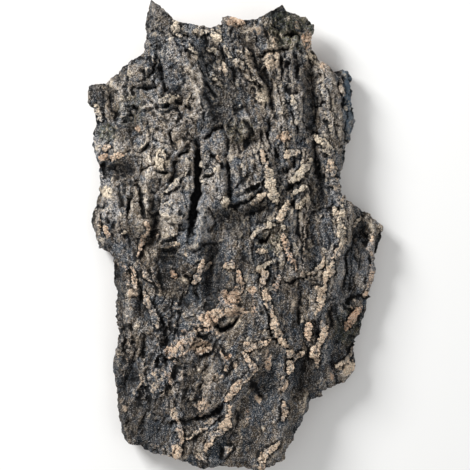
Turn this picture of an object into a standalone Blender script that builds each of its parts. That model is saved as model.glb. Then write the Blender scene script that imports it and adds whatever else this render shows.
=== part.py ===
"""A piece of virgin cork bark: one torn flat, lying on its hollow inner face with the rough face up.

Plan coordinates are millimetres on a drawing sheet, right of and below its upper left corner, as the bark
is seen from above. The sheet's middle is the object's origin, its upward direction is +Y, and heights are
millimetres above the surface that the bark lies on. The mesh itself is in metres.
"""

import math

import bmesh
import bpy
import numpy as np
from mathutils.geometry import delaunay_2d_cdt

# Driving dimensions, in metres
BARK_WIDTH = 0.297
BARK_LENGTH = 0.469
ARCH_RISE = 0.030
BARK_THICKNESS = 0.020
THINNEST = 0.007
RIM_DROP = 0.006
RIM_ROUNDING = 0.012
UNDERSIDE_CLEARANCE = 0.0022
FOOT_RADIUS = 0.022
MODEL_SPACING = 0.0026
UNDERSIDE_SPACING = 0.0075
RIM_SPACING = 0.0032
MOST_TRIANGLES = 11400
HIGHEST_RELIEF = 0.012
DEEPEST_RELIEF = 0.014
FOOT_GUARD_RADIUS = 0.0264
FOOT_GUARD_HEIGHT = 0.008

MM = 1000.0
SHEET_MIDDLE = (234.5, 234.5)
RANDOM_SEED = 7
CORK_COLOUR = (0.115, 0.095, 0.078, 1)
CORK_ROUGHNESS = 0.92

# How strongly the drawn swells, crests and splits show, and how far each spreads in its own half widths
SWELL_GAIN = 1.25
SWELL_SPREAD = 1.35
CREST_GAIN = 1.45
CREST_SPREAD = 1.25
NARROWEST_CREST = 3.4
SPLIT_GAIN = 1.1
SPLIT_SPREAD = 1.2
SPLIT_TAPER = 5

# The inner face: how full the arch is, how far the fluting lifts it, and the shape of the low spots, in millimetres
ARCH_FULLNESS = 2.1
FLUTE_LIFT = 1.2
FOOT_SINK = 2.5
FOOT_STRETCH = 0.7
FOOT_STEEPNESS = 1.3
FOOT_BACKING = 3.5

# The torn rim, in millimetres: how far it is set in and cut under, how uneven its triangles are, how much of the
# relief reaches it, and its layers as shares of its height with the seed of each layer's bulges
RIM_SET_IN = 0.4
UNDERCUT = 1.3
UNEVENNESS = 0.22
RIM_RELIEF = 0.55
RIM_LAYERS = ((0.3, 50), (0.65, 51))

# Soft waves: height, spacing across and spacing down the sheet, in millimetres
WIDE_WANDER = (2.2, 14, 14)
FINE_WANDER = (1.0, 6, 6)
ROLLING = (2.0, 55, 90)
LUMPS = (1.6, 18, 28)
VALLEY_FLUTES = (1.2, 11, 60)
NARROW_FLUTES = (1.0, 19, 120)
BROAD_FLUTES = (1.6, 60, 110)
RAGGED_RIM = (0.7, 4.3, 4.3)
RIM_BULGES = (1.2, 8, 8)
UNEVEN_UNDERCUT = (1.1, 9, 9)

# Soft waves whose height is a share of what they vary
LONG_RIDGES = (1.0, 19, 42)
LONG_LEDGES = (1.8, 26, 52)
SHORT_LEDGES = (0.3, 12, 20)
STATURE = (0.9, 13, 13)
UNEVEN_ROUNDING = (0.6, 21, 21)
UNEVEN_DROP = (0.9, 17, 17)

# Plates, ledges and ridges of the grown face, in millimetres
PLATE_WIDTH = 12
PLATE_LENGTH = 30
PLATE_STEP = 1.4
PLATE_SLANT = 1.8
PLATE_GROOVE = 1.0
LEDGE_HEIGHT = 3.2
RIDGE_HEIGHT = 1.8

# Where the grain leans off the sheet's length: slope, middle across and down, and reach to the sides
GRAIN_LEANS = ((0.4, 255, 90, 70), (-0.7, 215, 350, 80))
GRAIN_TURN = 50

# The torn outline, clockwise from the tallest tooth at the upper left
OUTLINE = (
    (151, 0), (160, 5), (164, 10), (172, 18), (174, 21), (186, 24), (200, 26), (210, 28), (221, 25), (222, 18),
    (227, 17), (244, 21), (256, 20), (264, 16), (273, 10), (281, 5), (287, 11), (301, 17), (305, 16), (314, 25),
    (314, 31), (311, 40), (311, 46), (318, 59), (328, 64), (334, 70), (343, 67), (348, 69), (353, 77), (350, 82),
    (353, 90), (351, 100), (354, 108), (355, 120), (353, 128), (350, 139), (345, 148), (345, 160), (339, 177),
    (341, 193), (346, 199), (360, 208), (369, 213), (376, 219), (383, 226), (381, 240), (377, 251), (374, 261),
    (376, 270), (374, 281), (368, 292), (371, 297), (367, 300), (367, 309), (362, 322), (360, 334), (355, 340),
    (354, 350), (356, 363), (355, 370), (346, 382), (335, 386), (322, 391), (323, 396), (311, 399), (308, 406),
    (302, 421), (294, 433), (293, 440), (286, 447), (284, 459), (272, 465), (254, 469), (243, 465), (218, 464),
    (203, 467), (187, 460), (165, 454), (154, 454), (138, 446), (128, 444), (123, 440), (118, 423), (116, 405),
    (116, 395), (111, 370), (111, 361), (115, 350), (117, 334), (114, 310), (116, 292), (113, 280), (113, 258),
    (109, 252), (97, 248), (94, 232), (89, 221), (92, 212), (96, 200), (100, 182), (97, 172), (98, 167), (91, 145),
    (92, 131), (95, 124), (92, 108), (86, 102), (86, 87), (90, 83), (104, 82), (112, 76), (120, 69), (131, 59),
    (140, 55), (145, 50), (143, 43), (146, 38), (145, 22), (148, 9),
)

# Broad swells and hollows: height, half width, then the points of the line that each follows
SWELLS = (
    (5, 22, (160, 10), (172, 48), (186, 62)),
    (5, 13, (190, 68), (198, 95), (206, 114)),
    (5, 15, (152, 104), (160, 128), (166, 156)),
    (4, 11, (175, 128), (192, 120)),
    (5, 16, (100, 150), (118, 150)),
    (5, 20, (104, 192), (112, 218)),
    (3, 13, (150, 165), (140, 195)),
    (5, 15, (188, 172), (176, 212)),
    (6, 15, (214, 165), (218, 198)),
    (4, 11, (200, 208), (197, 244)),
    (4, 15, (246, 168), (243, 190)),
    (6, 11, (260, 155), (276, 203)),
    (4, 14, (306, 162), (298, 180)),
    (6, 18, (292, 96), (284, 136)),
    (6, 12, (326, 70), (331, 128)),
    (4, 12, (322, 138), (336, 192)),
    (7, 12, (341, 202), (341, 240), (325, 285), (316, 318), (322, 334), (315, 360)),
    (6, 14, (284, 208), (284, 240), (298, 270)),
    (3, 12, (262, 232), (252, 250)),
    (6, 17, (248, 276), (226, 304), (202, 324), (178, 346)),
    (5, 11, (264, 290), (274, 328), (286, 346)),
    (3, 10, (268, 338), (246, 344)),
    (4, 18, (154, 372), (157, 388)),
    (3, 20, (186, 352), (184, 385)),
    (5, 13, (214, 364), (206, 402)),
    (5, 9, (254, 356), (232, 392), (228, 416), (204, 444)),
    (4, 9, (283, 380), (283, 422)),
    (5, 11, (280, 436), (262, 464)),
    (4, 12, (180, 436), (176, 458)),
    (4, 15, (270, 50), (272, 66)),
    (4, 11, (258, 92), (266, 100)),
    (3, 13, (118, 86), (124, 112)),
    (3, 14, (240, 62), (246, 80)),
    (3, 10, (128, 286), (134, 330)),
    (3, 11, (148, 300), (158, 330)),
    (3, 12, (370, 226), (374, 262)),
    (3, 14, (352, 360), (342, 374)),
    (-7, 15, (204, 46), (207, 62)),
    (-6, 12, (226, 34), (248, 46), (262, 74), (275, 96)),
    (-8, 18, (214, 70), (224, 118)),
    (-6, 16, (240, 76), (238, 104)),
    (-5, 18, (284, 18), (280, 30)),
    (-5, 12, (178, 92), (184, 102)),
    (-5, 14, (126, 118), (136, 132)),
    (-6, 14, (108, 168), (130, 170)),
    (-5, 14, (90, 88), (100, 96)),
    (-4, 10, (158, 66), (150, 86)),
    (-6, 10, (308, 64), (312, 128)),
    (-6, 13, (316, 164), (320, 206)),
    (-7, 12, (222, 226), (248, 214), (276, 204)),
    (-7, 12, (216, 244), (206, 302)),
    (-7, 14, (166, 256), (178, 296)),
    (-5, 9, (158, 204), (150, 240)),
    (-3, 18, (118, 232), (128, 240)),
    (-4, 11, (250, 250), (240, 268)),
    (-4, 12, (140, 296), (144, 312)),
    (-5, 12, (128, 360), (124, 388)),
    (-5, 22, (152, 404), (140, 440)),
    (-4, 10, (200, 346), (192, 392), (184, 430)),
    (-5, 13, (268, 372), (256, 394), (240, 408)),
    (-6, 15, (308, 356), (300, 388)),
    (-5, 11, (348, 286), (352, 306)),
    (-5, 16, (344, 326), (340, 356)),
    (-4, 11, (362, 214), (358, 238)),
    (-4, 11, (312, 206), (308, 262)),
    (-4, 9, (236, 146), (256, 138)),
    (-4, 10, (296, 286), (300, 330)),
    (-4, 10, (256, 430), (250, 450)),
)

# Corky crests that stand up sharply: height, half width, then the points of the line
CRESTS = (
    (5, 2.6, (259, 151), (263, 160), (267, 169)),
    (5, 3.4, (268, 170), (271, 186), (275, 201)),
    (5, 3.3, (341, 202), (341, 218), (338, 226), (342, 236), (337, 247), (333, 260)),
    (5, 3.6, (333, 262), (327, 274), (321, 290), (316, 314)),
    (3, 2.8, (331, 206), (336, 214), (340, 222)),
    (5, 3.6, (318, 318), (323, 326), (322, 335), (313, 352), (318, 366)),
    (5, 3, (281, 235), (285, 246), (290, 258), (296, 269)),
    (4, 2.8, (287, 201), (282, 213), (276, 222)),
    (3, 2.6, (281, 223), (284, 230)),
    (5, 3.6, (263, 288), (270, 312), (276, 332), (286, 345)),
    (4, 3.2, (288, 350), (294, 356), (302, 351)),
    (4, 3, (293, 357), (287, 371)),
    (4, 3.2, (308, 322), (307, 338)),
    (4, 3.6, (239, 378), (228, 398)),
    (4, 4, (229, 404), (226, 421), (213, 433), (204, 447)),
    (4, 4, (282, 376), (283, 388)),
    (4, 3.6, (282, 400), (284, 408), (281, 418)),
    (4, 3.6, (280, 438), (266, 448), (260, 457), (262, 466)),
    (3, 4, (145, 290), (153, 312), (158, 326)),
    (4, 3.6, (317, 139), (325, 146), (329, 154)),
    (4, 4.2, (329, 156), (329, 172), (336, 185), (340, 197)),
    (4, 2.8, (291, 98), (297, 120), (300, 130)),
    (4, 4.4, (322, 86), (326, 104), (329, 130)),
    (3, 2.6, (340, 80), (343, 94)),
    (4, 6, (338, 71), (344, 75)),
    (3, 4.6, (312, 69), (316, 76)),
    (3, 2.8, (346, 105), (348, 109)),
    (4, 3.4, (290, 182), (301, 172), (313, 161)),
    (3, 4.4, (286, 156), (295, 151)),
    (4, 3, (280, 137), (289, 137)),
    (3, 2.8, (250, 203), (257, 200), (264, 195)),
    (4, 3.2, (252, 237), (258, 229), (265, 225), (273, 226)),
    (3, 3.6, (257, 252), (265, 250)),
    (3, 3, (277, 275), (272, 288)),
    (3, 3.6, (371, 232), (370, 248), (374, 262), (371, 276), (365, 295)),
    (3, 3.6, (314, 284), (320, 290)),
    (4, 3.6, (268, 338), (250, 346), (243, 342)),
    (4, 3.6, (242, 350), (253, 365), (242, 378)),
    (4, 2.6, (161, 244), (170, 243), (180, 243)),
    (3, 2.8, (146, 222), (148, 229)),
    (4, 3.2, (147, 232), (142, 243), (137, 255)),
    (3, 2.8, (203, 261), (199, 272), (195, 282)),
    (3, 4, (225, 263), (232, 267)),
    (3, 3.4, (171, 272), (176, 277)),
    (3, 4.6, (226, 198), (225, 206)),
    (3, 2.6, (212, 194), (221, 198)),
    (3, 4.2, (207, 151), (206, 163)),
    (3, 4.6, (204, 173), (214, 168)),
    (3, 6.5, (218, 178), (222, 190)),
    (4, 6, (203, 205), (199, 222), (199, 243)),
    (4, 6.5, (163, 152), (162, 167)),
    (4, 5.5, (146, 184), (147, 213)),
    (3, 9, (112, 192), (114, 222)),
    (3, 3.6, (97, 210), (98, 225)),
    (3, 4, (121, 171), (124, 182)),
    (3, 2.6, (100, 156), (124, 156)),
    (3, 2.8, (102, 146), (111, 147)),
    (2, 2.6, (97, 165), (101, 176)),
    (4, 3.6, (164, 193), (175, 184), (187, 173)),
    (2, 3, (165, 206), (171, 204)),
    (3, 7.5, (176, 208), (180, 228)),
    (2, 4, (188, 160), (192, 168)),
    (4, 5.5, (184, 74), (199, 97), (214, 124)),
    (3, 3.6, (160, 101), (178, 98)),
    (4, 3.4, (138, 112), (150, 104), (160, 114), (165, 126)),
    (4, 8, (168, 116), (181, 122)),
    (3, 4.6, (182, 134), (190, 140)),
    (3, 6, (181, 147), (192, 143)),
    (3, 3.2, (155, 42), (156, 45)),
    (4, 3.4, (158, 62), (156, 75), (148, 82), (139, 85)),
    (3, 6.5, (144, 60), (146, 74)),
    (3, 8, (168, 50), (189, 67)),
    (3, 4.6, (172, 24), (181, 36)),
    (3, 3.6, (193, 33), (208, 33)),
    (3, 3.6, (212, 32), (220, 42)),
    (3, 3.8, (182, 46), (196, 54)),
    (3, 2.6, (208, 52), (218, 55)),
    (3, 2.8, (224, 50), (231, 59)),
    (3, 3, (222, 63), (226, 75)),
    (3, 3, (209, 74), (217, 81)),
    (3, 2.6, (219, 84), (223, 89)),
    (4, 4.2, (117, 83), (122, 101)),
    (3, 3.6, (128, 88), (132, 97)),
    (4, 5, (122, 109), (126, 118)),
    (3, 2.8, (93, 103), (100, 120)),
    (3, 6, (105, 129), (107, 138)),
    (4, 7.5, (267, 60), (270, 75)),
    (3, 6, (288, 59), (290, 64)),
    (4, 6.5, (288, 86), (292, 88)),
    (4, 4.6, (239, 53), (250, 66), (258, 80), (262, 90)),
    (3, 4, (236, 64), (243, 70)),
    (3, 3.6, (247, 79), (252, 84)),
    (3, 5.5, (257, 95), (262, 102)),
    (4, 5.5, (284, 102), (280, 120), (278, 131)),
    (3, 6, (232, 126), (231, 141)),
    (3, 5.5, (246, 128), (247, 141)),
    (3, 6, (257, 124), (263, 131)),
    (3, 6, (238, 190), (259, 184)),
    (3, 3.6, (243, 164), (243, 176)),
    (3, 3, (236, 24), (244, 26)),
    (3, 3.4, (270, 36), (276, 48)),
    (3, 3.2, (308, 36), (310, 62)),
    (3, 4.4, (300, 66), (300, 78)),
    (3, 2.6, (294, 26), (298, 32)),
    (4, 4, (238, 272), (239, 282), (235, 294)),
    (3, 3.2, (363, 306), (350, 320), (346, 328)),
    (3, 3.2, (355, 342), (350, 358), (336, 366)),
    (3, 3.2, (178, 418), (182, 440), (176, 458)),
    (3, 9, (238, 288), (222, 306), (206, 322)),
    (3, 9, (197, 330), (181, 343), (168, 352)),
    (3, 10, (172, 362), (158, 384), (152, 394)),
    (3, 6, (204, 338), (213, 328)),
    (3, 5, (160, 330), (155, 352), (150, 372)),
    (3, 5, (213, 372), (204, 396), (196, 412)),
    (3, 4, (118, 300), (119, 326), (122, 350)),
    (2, 7, (120, 262), (128, 284)),
    (3, 4, (140, 262), (150, 280)),
    (3, 3.6, (152, 268), (160, 290)),
    (3, 3, (132, 268), (136, 290)),
    (3, 4, (182, 290), (176, 312), (172, 330)),
    (3, 4, (216, 344), (226, 358), (228, 372)),
    (3, 3.6, (196, 352), (210, 346)),
    (3, 4, (188, 434), (206, 424), (218, 412)),
    (3, 4, (232, 440), (222, 456)),
    (3, 3.4, (150, 444), (166, 450)),
    (3, 3.6, (196, 450), (206, 460)),
    (3, 3.4, (342, 300), (352, 308)),
    (3, 3.6, (330, 300), (336, 330)),
    (3, 3.6, (352, 268), (350, 290)),
    (3, 4, (128, 320), (130, 350), (124, 376)),
    (3, 4, (146, 345), (140, 372), (142, 398)),
    (3, 4, (172, 300), (162, 340), (164, 392)),
    (3, 4, (184, 352), (180, 400)),
)

# Splits in the bark: depth, half width, then the points of the line
SPLITS = (
    (15, 3.6, (197, 141), (198, 162), (198, 182), (195, 203), (191, 218), (190, 242)),
    (7, 3, (193, 252), (207, 243), (222, 243)),
    (7, 3, (165, 423), (190, 418), (210, 412), (228, 399)),
    (7, 3, (250, 57), (280, 52), (293, 51)),
    (6, 3, (288, 37), (300, 37)),
    (5, 3, (295, 52), (295, 75)),
    (9, 4, (238, 30), (252, 57), (268, 86), (275, 118)),
    (6, 3, (282, 88), (290, 95), (298, 92)),
    (7, 4, (183, 262), (192, 275), (198, 287)),
    (6, 3, (140, 285), (142, 302)),
    (6, 3, (213, 315), (222, 330), (238, 317)),
    (7, 3, (343, 300), (352, 297), (371, 297)),
    (6, 3, (98, 163), (104, 172)),
    (9, 4.5, (313, 318), (316, 338)),
    (6, 4, (163, 315), (166, 350)),
    (6, 4, (146, 335), (141, 365)),
    (6, 3, (208, 153), (217, 162), (225, 168)),
    (6, 3, (270, 234), (258, 242)),
    (8, 5, (308, 62), (313, 96), (310, 128)),
    (7, 5, (156, 214), (152, 250)),
    (7, 5, (163, 256), (176, 262)),
    (8, 5, (214, 246), (205, 300)),
    (7, 4, (360, 212), (366, 240)),
    (7, 4, (208, 360), (198, 400)),
    (6, 4, (126, 414), (132, 440)),
    (7, 5, (360, 316), (350, 340)),
    (8, 5, (104, 166), (134, 174)),
    (8, 5, (122, 118), (138, 132)),
    (7, 4, (314, 140), (318, 176), (324, 204)),
    (6, 4, (300, 290), (296, 326)),
    (7, 4, (244, 214), (272, 206)),
    (6, 4, (176, 158), (172, 186)),
    (6, 4, (228, 160), (230, 200)),
    (7, 4, (330, 352), (336, 380)),
    (6, 4, (150, 392), (142, 436)),
    (6, 3, (250, 380), (262, 398)),
    (7, 4, (302, 358), (296, 392)),
    (7, 2.6, (182, 34), (190, 41)),
    (7, 2.4, (160, 64), (163, 80), (169, 96)),
    (6, 2.2, (158, 107), (178, 103), (197, 109)),
    (6, 2.6, (203, 80), (209, 90), (216, 101)),
    (6, 2.4, (240, 120), (251, 131), (245, 147)),
    (6, 2.0, (280, 54), (280, 82)),
    (7, 2.2, (289, 114), (297, 131)),
    (6, 2.2, (307, 105), (318, 106), (323, 100)),
    (7, 2.6, (342, 95), (344, 110)),
    (7, 2.8, (141, 90), (160, 87)),
    (7, 2.6, (133, 108), (140, 111)),
    (9, 3.6, (297, 160), (290, 167), (280, 172)),
    (6, 2.0, (305, 279), (318, 270), (329, 262)),
    (6, 2.0, (285, 281), (299, 278), (308, 277)),
    (9, 3.4, (315, 157), (316, 170), (321, 180)),
    (6, 2.0, (141, 171), (157, 163)),
    (6, 2.0, (155, 170), (169, 172)),
    (6, 2.4, (228, 208), (243, 203), (256, 195)),
    (6, 2.0, (236, 196), (250, 190), (263, 182)),
    (6, 2.0, (280, 190), (290, 186), (301, 181)),
    (7, 2.6, (157, 218), (152, 228), (150, 238)),
    (8, 3.6, (161, 250), (178, 250)),
    (6, 2.2, (201, 178), (210, 177)),
    (7, 2.6, (101, 161), (105, 170)),
    (6, 2.4, (137, 180), (142, 200), (145, 216)),
    (6, 2.4, (128, 198), (129, 222)),
    (6, 2.0, (96, 206), (104, 209)),
    (7, 2.6, (256, 237), (268, 241)),
    (6, 2.4, (277, 160), (272, 150)),
    (7, 2.8, (291, 206), (295, 200)),
    (7, 3.0, (302, 36), (286, 38)),
    (7, 2.4, (186, 150), (176, 156)),
    (6, 2.4, (170, 128), (174, 146)),
    (6, 2.2, (148, 118), (150, 140), (142, 152)),
    (7, 2.8, (202, 142), (214, 130), (226, 126)),
    (6, 2.4, (232, 112), (246, 108)),
    (6, 2.4, (268, 138), (270, 122)),
    (7, 2.8, (213, 60), (203, 66)),
    (7, 2.6, (232, 66), (234, 84)),
    (6, 2.4, (324, 132), (310, 134)),
)

# How far the trunk's curve reaches to the left and to the right, at heights down the sheet
CURVE_HEIGHTS = (0, 60, 115, 230, 330, 400, 469)
CURVE_LEFT = (112, 100, 89, 92, 109, 113, 122)
CURVE_RIGHT = (338, 346, 354, 380, 364, 336, 306)

# Three low spots under the bark, round its weight, that it rests on
FEET = ((106, 112), (361, 246), (133, 394))


def lattice_random(column, row, seed):
    """A repeatable random number from 0 to 1 for each whole-numbered place."""
    mixed = (column * 374761393 + row * 668265263 + seed * 974634777) & 0xFFFFFFFF
    mixed = ((mixed ^ (mixed >> 13)) * 1274126177) & 0xFFFFFFFF
    return ((mixed ^ (mixed >> 16)) & 0xFFFFFF) / 0xFFFFFF


def ease(t):
    """0 to 1 with level ends, for t from 0 to 1."""
    t = np.clip(t, 0, 1)
    return t * t * (3 - 2 * t)


def noise(x, y, seed):
    """Smooth noise from about -1 to 1, with swells about one unit apart."""
    column = np.floor(x).astype(np.int64)
    row = np.floor(y).astype(np.int64)
    total = np.zeros_like(x)
    for right in (0, 1):
        for down in (0, 1):
            angle = math.tau * lattice_random(column + right, row + down, seed)
            dx = x - column - right
            dy = y - row - down
            weight = ease(1 - abs(dx)) * ease(1 - abs(dy))
            total += weight * (np.cos(angle) * dx + np.sin(angle) * dy)
    return 1.5 * total


def waves(x, y, shape, seed):
    """Soft waves of a given height, with a given spacing across and down the sheet."""
    height, across, down = shape
    return height * noise(x / across, y / down, RANDOM_SEED + seed)


def plates(x, y, seed):
    """Cells round scattered points: how near its cell's edge each place is, the cell's number, and its slant there."""
    column = np.floor(x).astype(np.int64)
    row = np.floor(y).astype(np.int64)
    nearest = np.full_like(x, 9.0)
    second = np.full_like(x, 9.0)
    number = np.zeros_like(x)
    slant = np.zeros_like(x)
    for right in (-1, 0, 1):
        for down in (-1, 0, 1):
            home_x = column + right + 0.5 + 0.8 * (lattice_random(column + right, row + down, seed) - 0.5)
            home_y = row + down + 0.5 + 0.8 * (lattice_random(column + right, row + down, seed + 1) - 0.5)
            distance = np.hypot(x - home_x, y - home_y)
            closer = distance < nearest
            second = np.where(closer, nearest, np.minimum(second, distance))
            number = np.where(closer, lattice_random(column + right, row + down, seed + 2), number)
            turn = math.tau * lattice_random(column + right, row + down, seed + 3)
            slant = np.where(closer, (x - home_x) * np.cos(turn) + (y - home_y) * np.sin(turn), slant)
            nearest = np.where(closer, distance, nearest)
    return second - nearest, number, slant


def distance_to_line(x, y, points):
    """Distance of each place from a line through the given points, and how far along the line it lies."""
    best = np.full_like(x, 1e6)
    along = np.zeros_like(x)
    steps = len(points) - 1
    for step in range(steps):
        ax, ay = points[step]
        bx, by = points[step + 1]
        dx = bx - ax
        dy = by - ay
        t = np.clip(((x - ax) * dx + (y - ay) * dy) / (dx * dx + dy * dy), 0, 1)
        distance = np.hypot(x - ax - t * dx, y - ay - t * dy)
        closer = distance < best
        best = np.where(closer, distance, best)
        along = np.where(closer, (step + t) / steps, along)
    return best, along


def outline_distance(x, y, outline):
    """Distance of each place from the outline."""
    distance, _ = distance_to_line(x, y, list(outline) + [outline[0]])
    return distance


def across_grain(x, y):
    """Place across the bark's grain, which leans right in the upper middle and left in the lower middle."""
    leaning = x
    for slope, middle_x, middle_y, reach in GRAIN_LEANS:
        falling = GRAIN_TURN * np.tanh((y - middle_y) / GRAIN_TURN)
        leaning = leaning - slope * falling * np.exp(-(((x - middle_x) / reach) ** 2))
    return leaning


def inner_height(x, y):
    """Height of the hollow inner face: part of the trunk's curve, faintly fluted, with three low spots."""
    left = np.interp(y, CURVE_HEIGHTS, CURVE_LEFT)
    right = np.interp(y, CURVE_HEIGHTS, CURVE_RIGHT)
    side = np.clip((2 * x - left - right) / (right - left), -1, 1)
    height = ARCH_RISE * MM * (1 - abs(side) ** ARCH_FULLNESS) + UNDERSIDE_CLEARANCE * MM
    height += FLUTE_LIFT + waves(x, y, NARROW_FLUTES, 40) + waves(x, y, BROAD_FLUTES, 41)
    height = np.maximum(height, UNDERSIDE_CLEARANCE * MM)
    for foot_x, foot_y in FEET:
        away = np.hypot(x - foot_x, FOOT_STRETCH * (y - foot_y)) / (FOOT_RADIUS * MM)
        height = height - (height + FOOT_SINK) * ease(FOOT_STEEPNESS * (1 - away))
    return np.maximum(height, 0)


def grown_relief(x, y):
    """Plates, ledges and low ridges that cover the whole outer face, quieter in the long valleys."""
    across = across_grain(x, y)
    valleys = ease((y - 215) / 60) * (0.45 + 0.55 * ease((x - 185) / 30))
    planks = 1 - 0.8 * ease((230 - y) / 120) * ease((x - 190) / 60)
    edge, number, slant = plates(across / PLATE_WIDTH, y / PLATE_LENGTH, RANDOM_SEED + 5)
    steps = PLATE_STEP * (number - 0.5) + PLATE_SLANT * slant
    grown = (1 - 0.8 * valleys) * (steps - PLATE_GROOVE * planks * (1 - ease(edge / 0.25)))
    grown += (1 - planks) * waves(x, y, LUMPS, 14)
    ridges = 1 - 2.4 * abs(waves(across, y, LONG_RIDGES, 15))
    grown += RIDGE_HEIGHT * (1 - 0.6 * valleys) * np.clip(ridges, -0.6, 1)
    grown += valleys * waves(across, y, VALLEY_FLUTES, 18)
    ledge = waves(across, y, LONG_LEDGES, 21) + waves(x, y, SHORT_LEDGES, 22)
    ledge = ledge - np.floor(ledge)
    return grown + LEDGE_HEIGHT * (1 - 0.5 * valleys) * (ledge - 0.5 - ease((ledge - 0.90) / 0.10))


def bark_relief(x, y):
    """Height of the rough outer face above its smooth middle surface."""
    wander_x = x + waves(x, y, WIDE_WANDER, 0) + waves(x, y, FINE_WANDER, 1)
    wander_y = y + waves(x, y, WIDE_WANDER, 2) + waves(x, y, FINE_WANDER, 3)
    relief = waves(x, y, ROLLING, 4)
    for height, half_width, *points in SWELLS:
        distance, _ = distance_to_line(wander_x, wander_y, points)
        relief += SWELL_GAIN * height * ease(1 - distance / (SWELL_SPREAD * half_width))
    relief += grown_relief(wander_x, wander_y)
    stature = np.clip(1 + waves(x, y, STATURE, 20), 0.3, 1.5)
    for height, half_width, *points in CRESTS:
        distance, _ = distance_to_line(wander_x, wander_y, points)
        flank = 2.0 * (1 - distance / (CREST_SPREAD * max(half_width, NARROWEST_CREST)))
        relief += CREST_GAIN * height * stature * ease(flank)
    for depth, half_width, *points in SPLITS:
        distance, along = distance_to_line(wander_x, wander_y, points)
        taper = ease(SPLIT_TAPER * along) * ease(SPLIT_TAPER * (1 - along))
        bite = np.clip(1 - distance / (SPLIT_SPREAD * max(half_width, NARROWEST_CREST)), 0, 1)
        relief -= SPLIT_GAIN * depth * (0.35 + 0.65 * taper) * bite
    limit = np.where(relief > 0, HIGHEST_RELIEF, DEEPEST_RELIEF) * MM
    return limit * np.tanh(relief / limit)


def outer_height(x, y, outline):
    """Height of the rough outer face, which rounds over towards the torn rim."""
    rounding = RIM_ROUNDING * MM * (1 + waves(x, y, UNEVEN_ROUNDING, 12))
    rim = ease(outline_distance(x, y, outline) / rounding)
    drop = RIM_DROP * MM * (1 + waves(x, y, UNEVEN_DROP, 13))
    smooth = inner_height(x, y) + BARK_THICKNESS * MM - drop * (1 - rim)
    rough = smooth + bark_relief(x, y) * (RIM_RELIEF + (1 - RIM_RELIEF) * rim)
    for foot_x, foot_y in FEET:
        away = np.hypot(x - foot_x, y - foot_y) / (1.5 * FOOT_RADIUS * MM)
        rough += FOOT_BACKING * ease(1.2 * (1 - away))
    return np.maximum(rough, inner_height(x, y) + THINNEST * MM)


def torn_rim(spacing):
    """The outline walked in even steps, with its stretches between corners broken up."""
    corners = np.array(OUTLINE, dtype=float)
    rim = []
    for here, there in zip(corners, np.roll(corners, -1, axis=0)):
        steps = max(1, round(math.dist(here, there) / spacing))
        for step in range(steps):
            rim.append(here + (there - here) * step / steps)
    rim = np.array(rim)
    ragged = waves(rim[:, 0], rim[:, 1], RAGGED_RIM, 20)
    return rim + rim_inward(rim) * (RIM_SET_IN + ragged)[:, None]


def rim_inward(rim):
    """Unit directions that point from the rim towards the bark's inside."""
    along = np.roll(rim, -1, axis=0) - np.roll(rim, 1, axis=0)
    inward = np.stack([-along[:, 1], along[:, 0]], axis=1)
    return inward / np.maximum(np.linalg.norm(inward, axis=1), 1e-6)[:, None]


def inside_rim(x, y, rim):
    """True for places inside the rim, by counting how often a line to the right crosses it."""
    inside = np.zeros(x.shape, dtype=bool)
    for (ax, ay), (bx, by) in zip(rim, np.roll(rim, -1, axis=0)):
        if ay == by:
            continue
        crosses = (ay > y) != (by > y)
        inside ^= crosses & (x < ax + (bx - ax) * (y - ay) / (by - ay))
    return inside


def field_points(rim, spacing, margin):
    """Staggered rows of places inside the rim, no nearer to it than the margin."""
    row_spacing = spacing * math.sqrt(3) / 2
    columns = int(BARK_WIDTH * MM / spacing) + 4
    rows = int(BARK_LENGTH * MM / row_spacing) + 4
    column, row = np.meshgrid(np.arange(columns), np.arange(rows))
    low = rim.min(axis=0) - spacing
    x = low[0] + spacing * (column + 0.5 * (row % 2)).ravel()
    y = low[1] + row_spacing * row.ravel()
    stray = (UNEVENNESS * spacing, spacing / 0.7, spacing / 0.7)
    x = x + waves(x, y, stray, 30)
    y = y + waves(x, y, stray, 31)
    keep = inside_rim(x, y, rim)
    x = x[keep]
    y = y[keep]
    clear = outline_distance(x, y, rim) > margin
    return np.stack([x[clear], y[clear]], axis=1)


def triangulated(rim, field):
    """Triangles of the sheet inside the rim. They number the rim's own places first, in order."""
    sheet = np.concatenate([rim, field])
    around = len(rim)
    rim_edges = [(k, (k + 1) % around) for k in range(around)]
    found, _, faces, origins, _, _ = delaunay_2d_cdt([tuple(place) for place in sheet], rim_edges, [], 0, 1e-5, True)
    if len(found) != len(sheet):
        raise ValueError("places of the sheet fall on one another")
    source = np.array([origin[0] for origin in origins])
    triangles = source[np.array(faces)]
    middles = sheet[triangles].mean(axis=1)
    inside = inside_rim(middles[:, 0], middles[:, 1], rim)
    return [tuple(int(corner) for corner in triangle) for triangle in triangles[inside]]


def wall_between(upper, lower):
    """Triangles that join two rings of places, one above the other."""
    triangles = []
    around = len(upper)
    for k in range(around):
        n = (k + 1) % around
        triangles.append((upper[k], upper[n], lower[n]))
        triangles.append((upper[k], lower[n], lower[k]))
    return triangles


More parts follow.
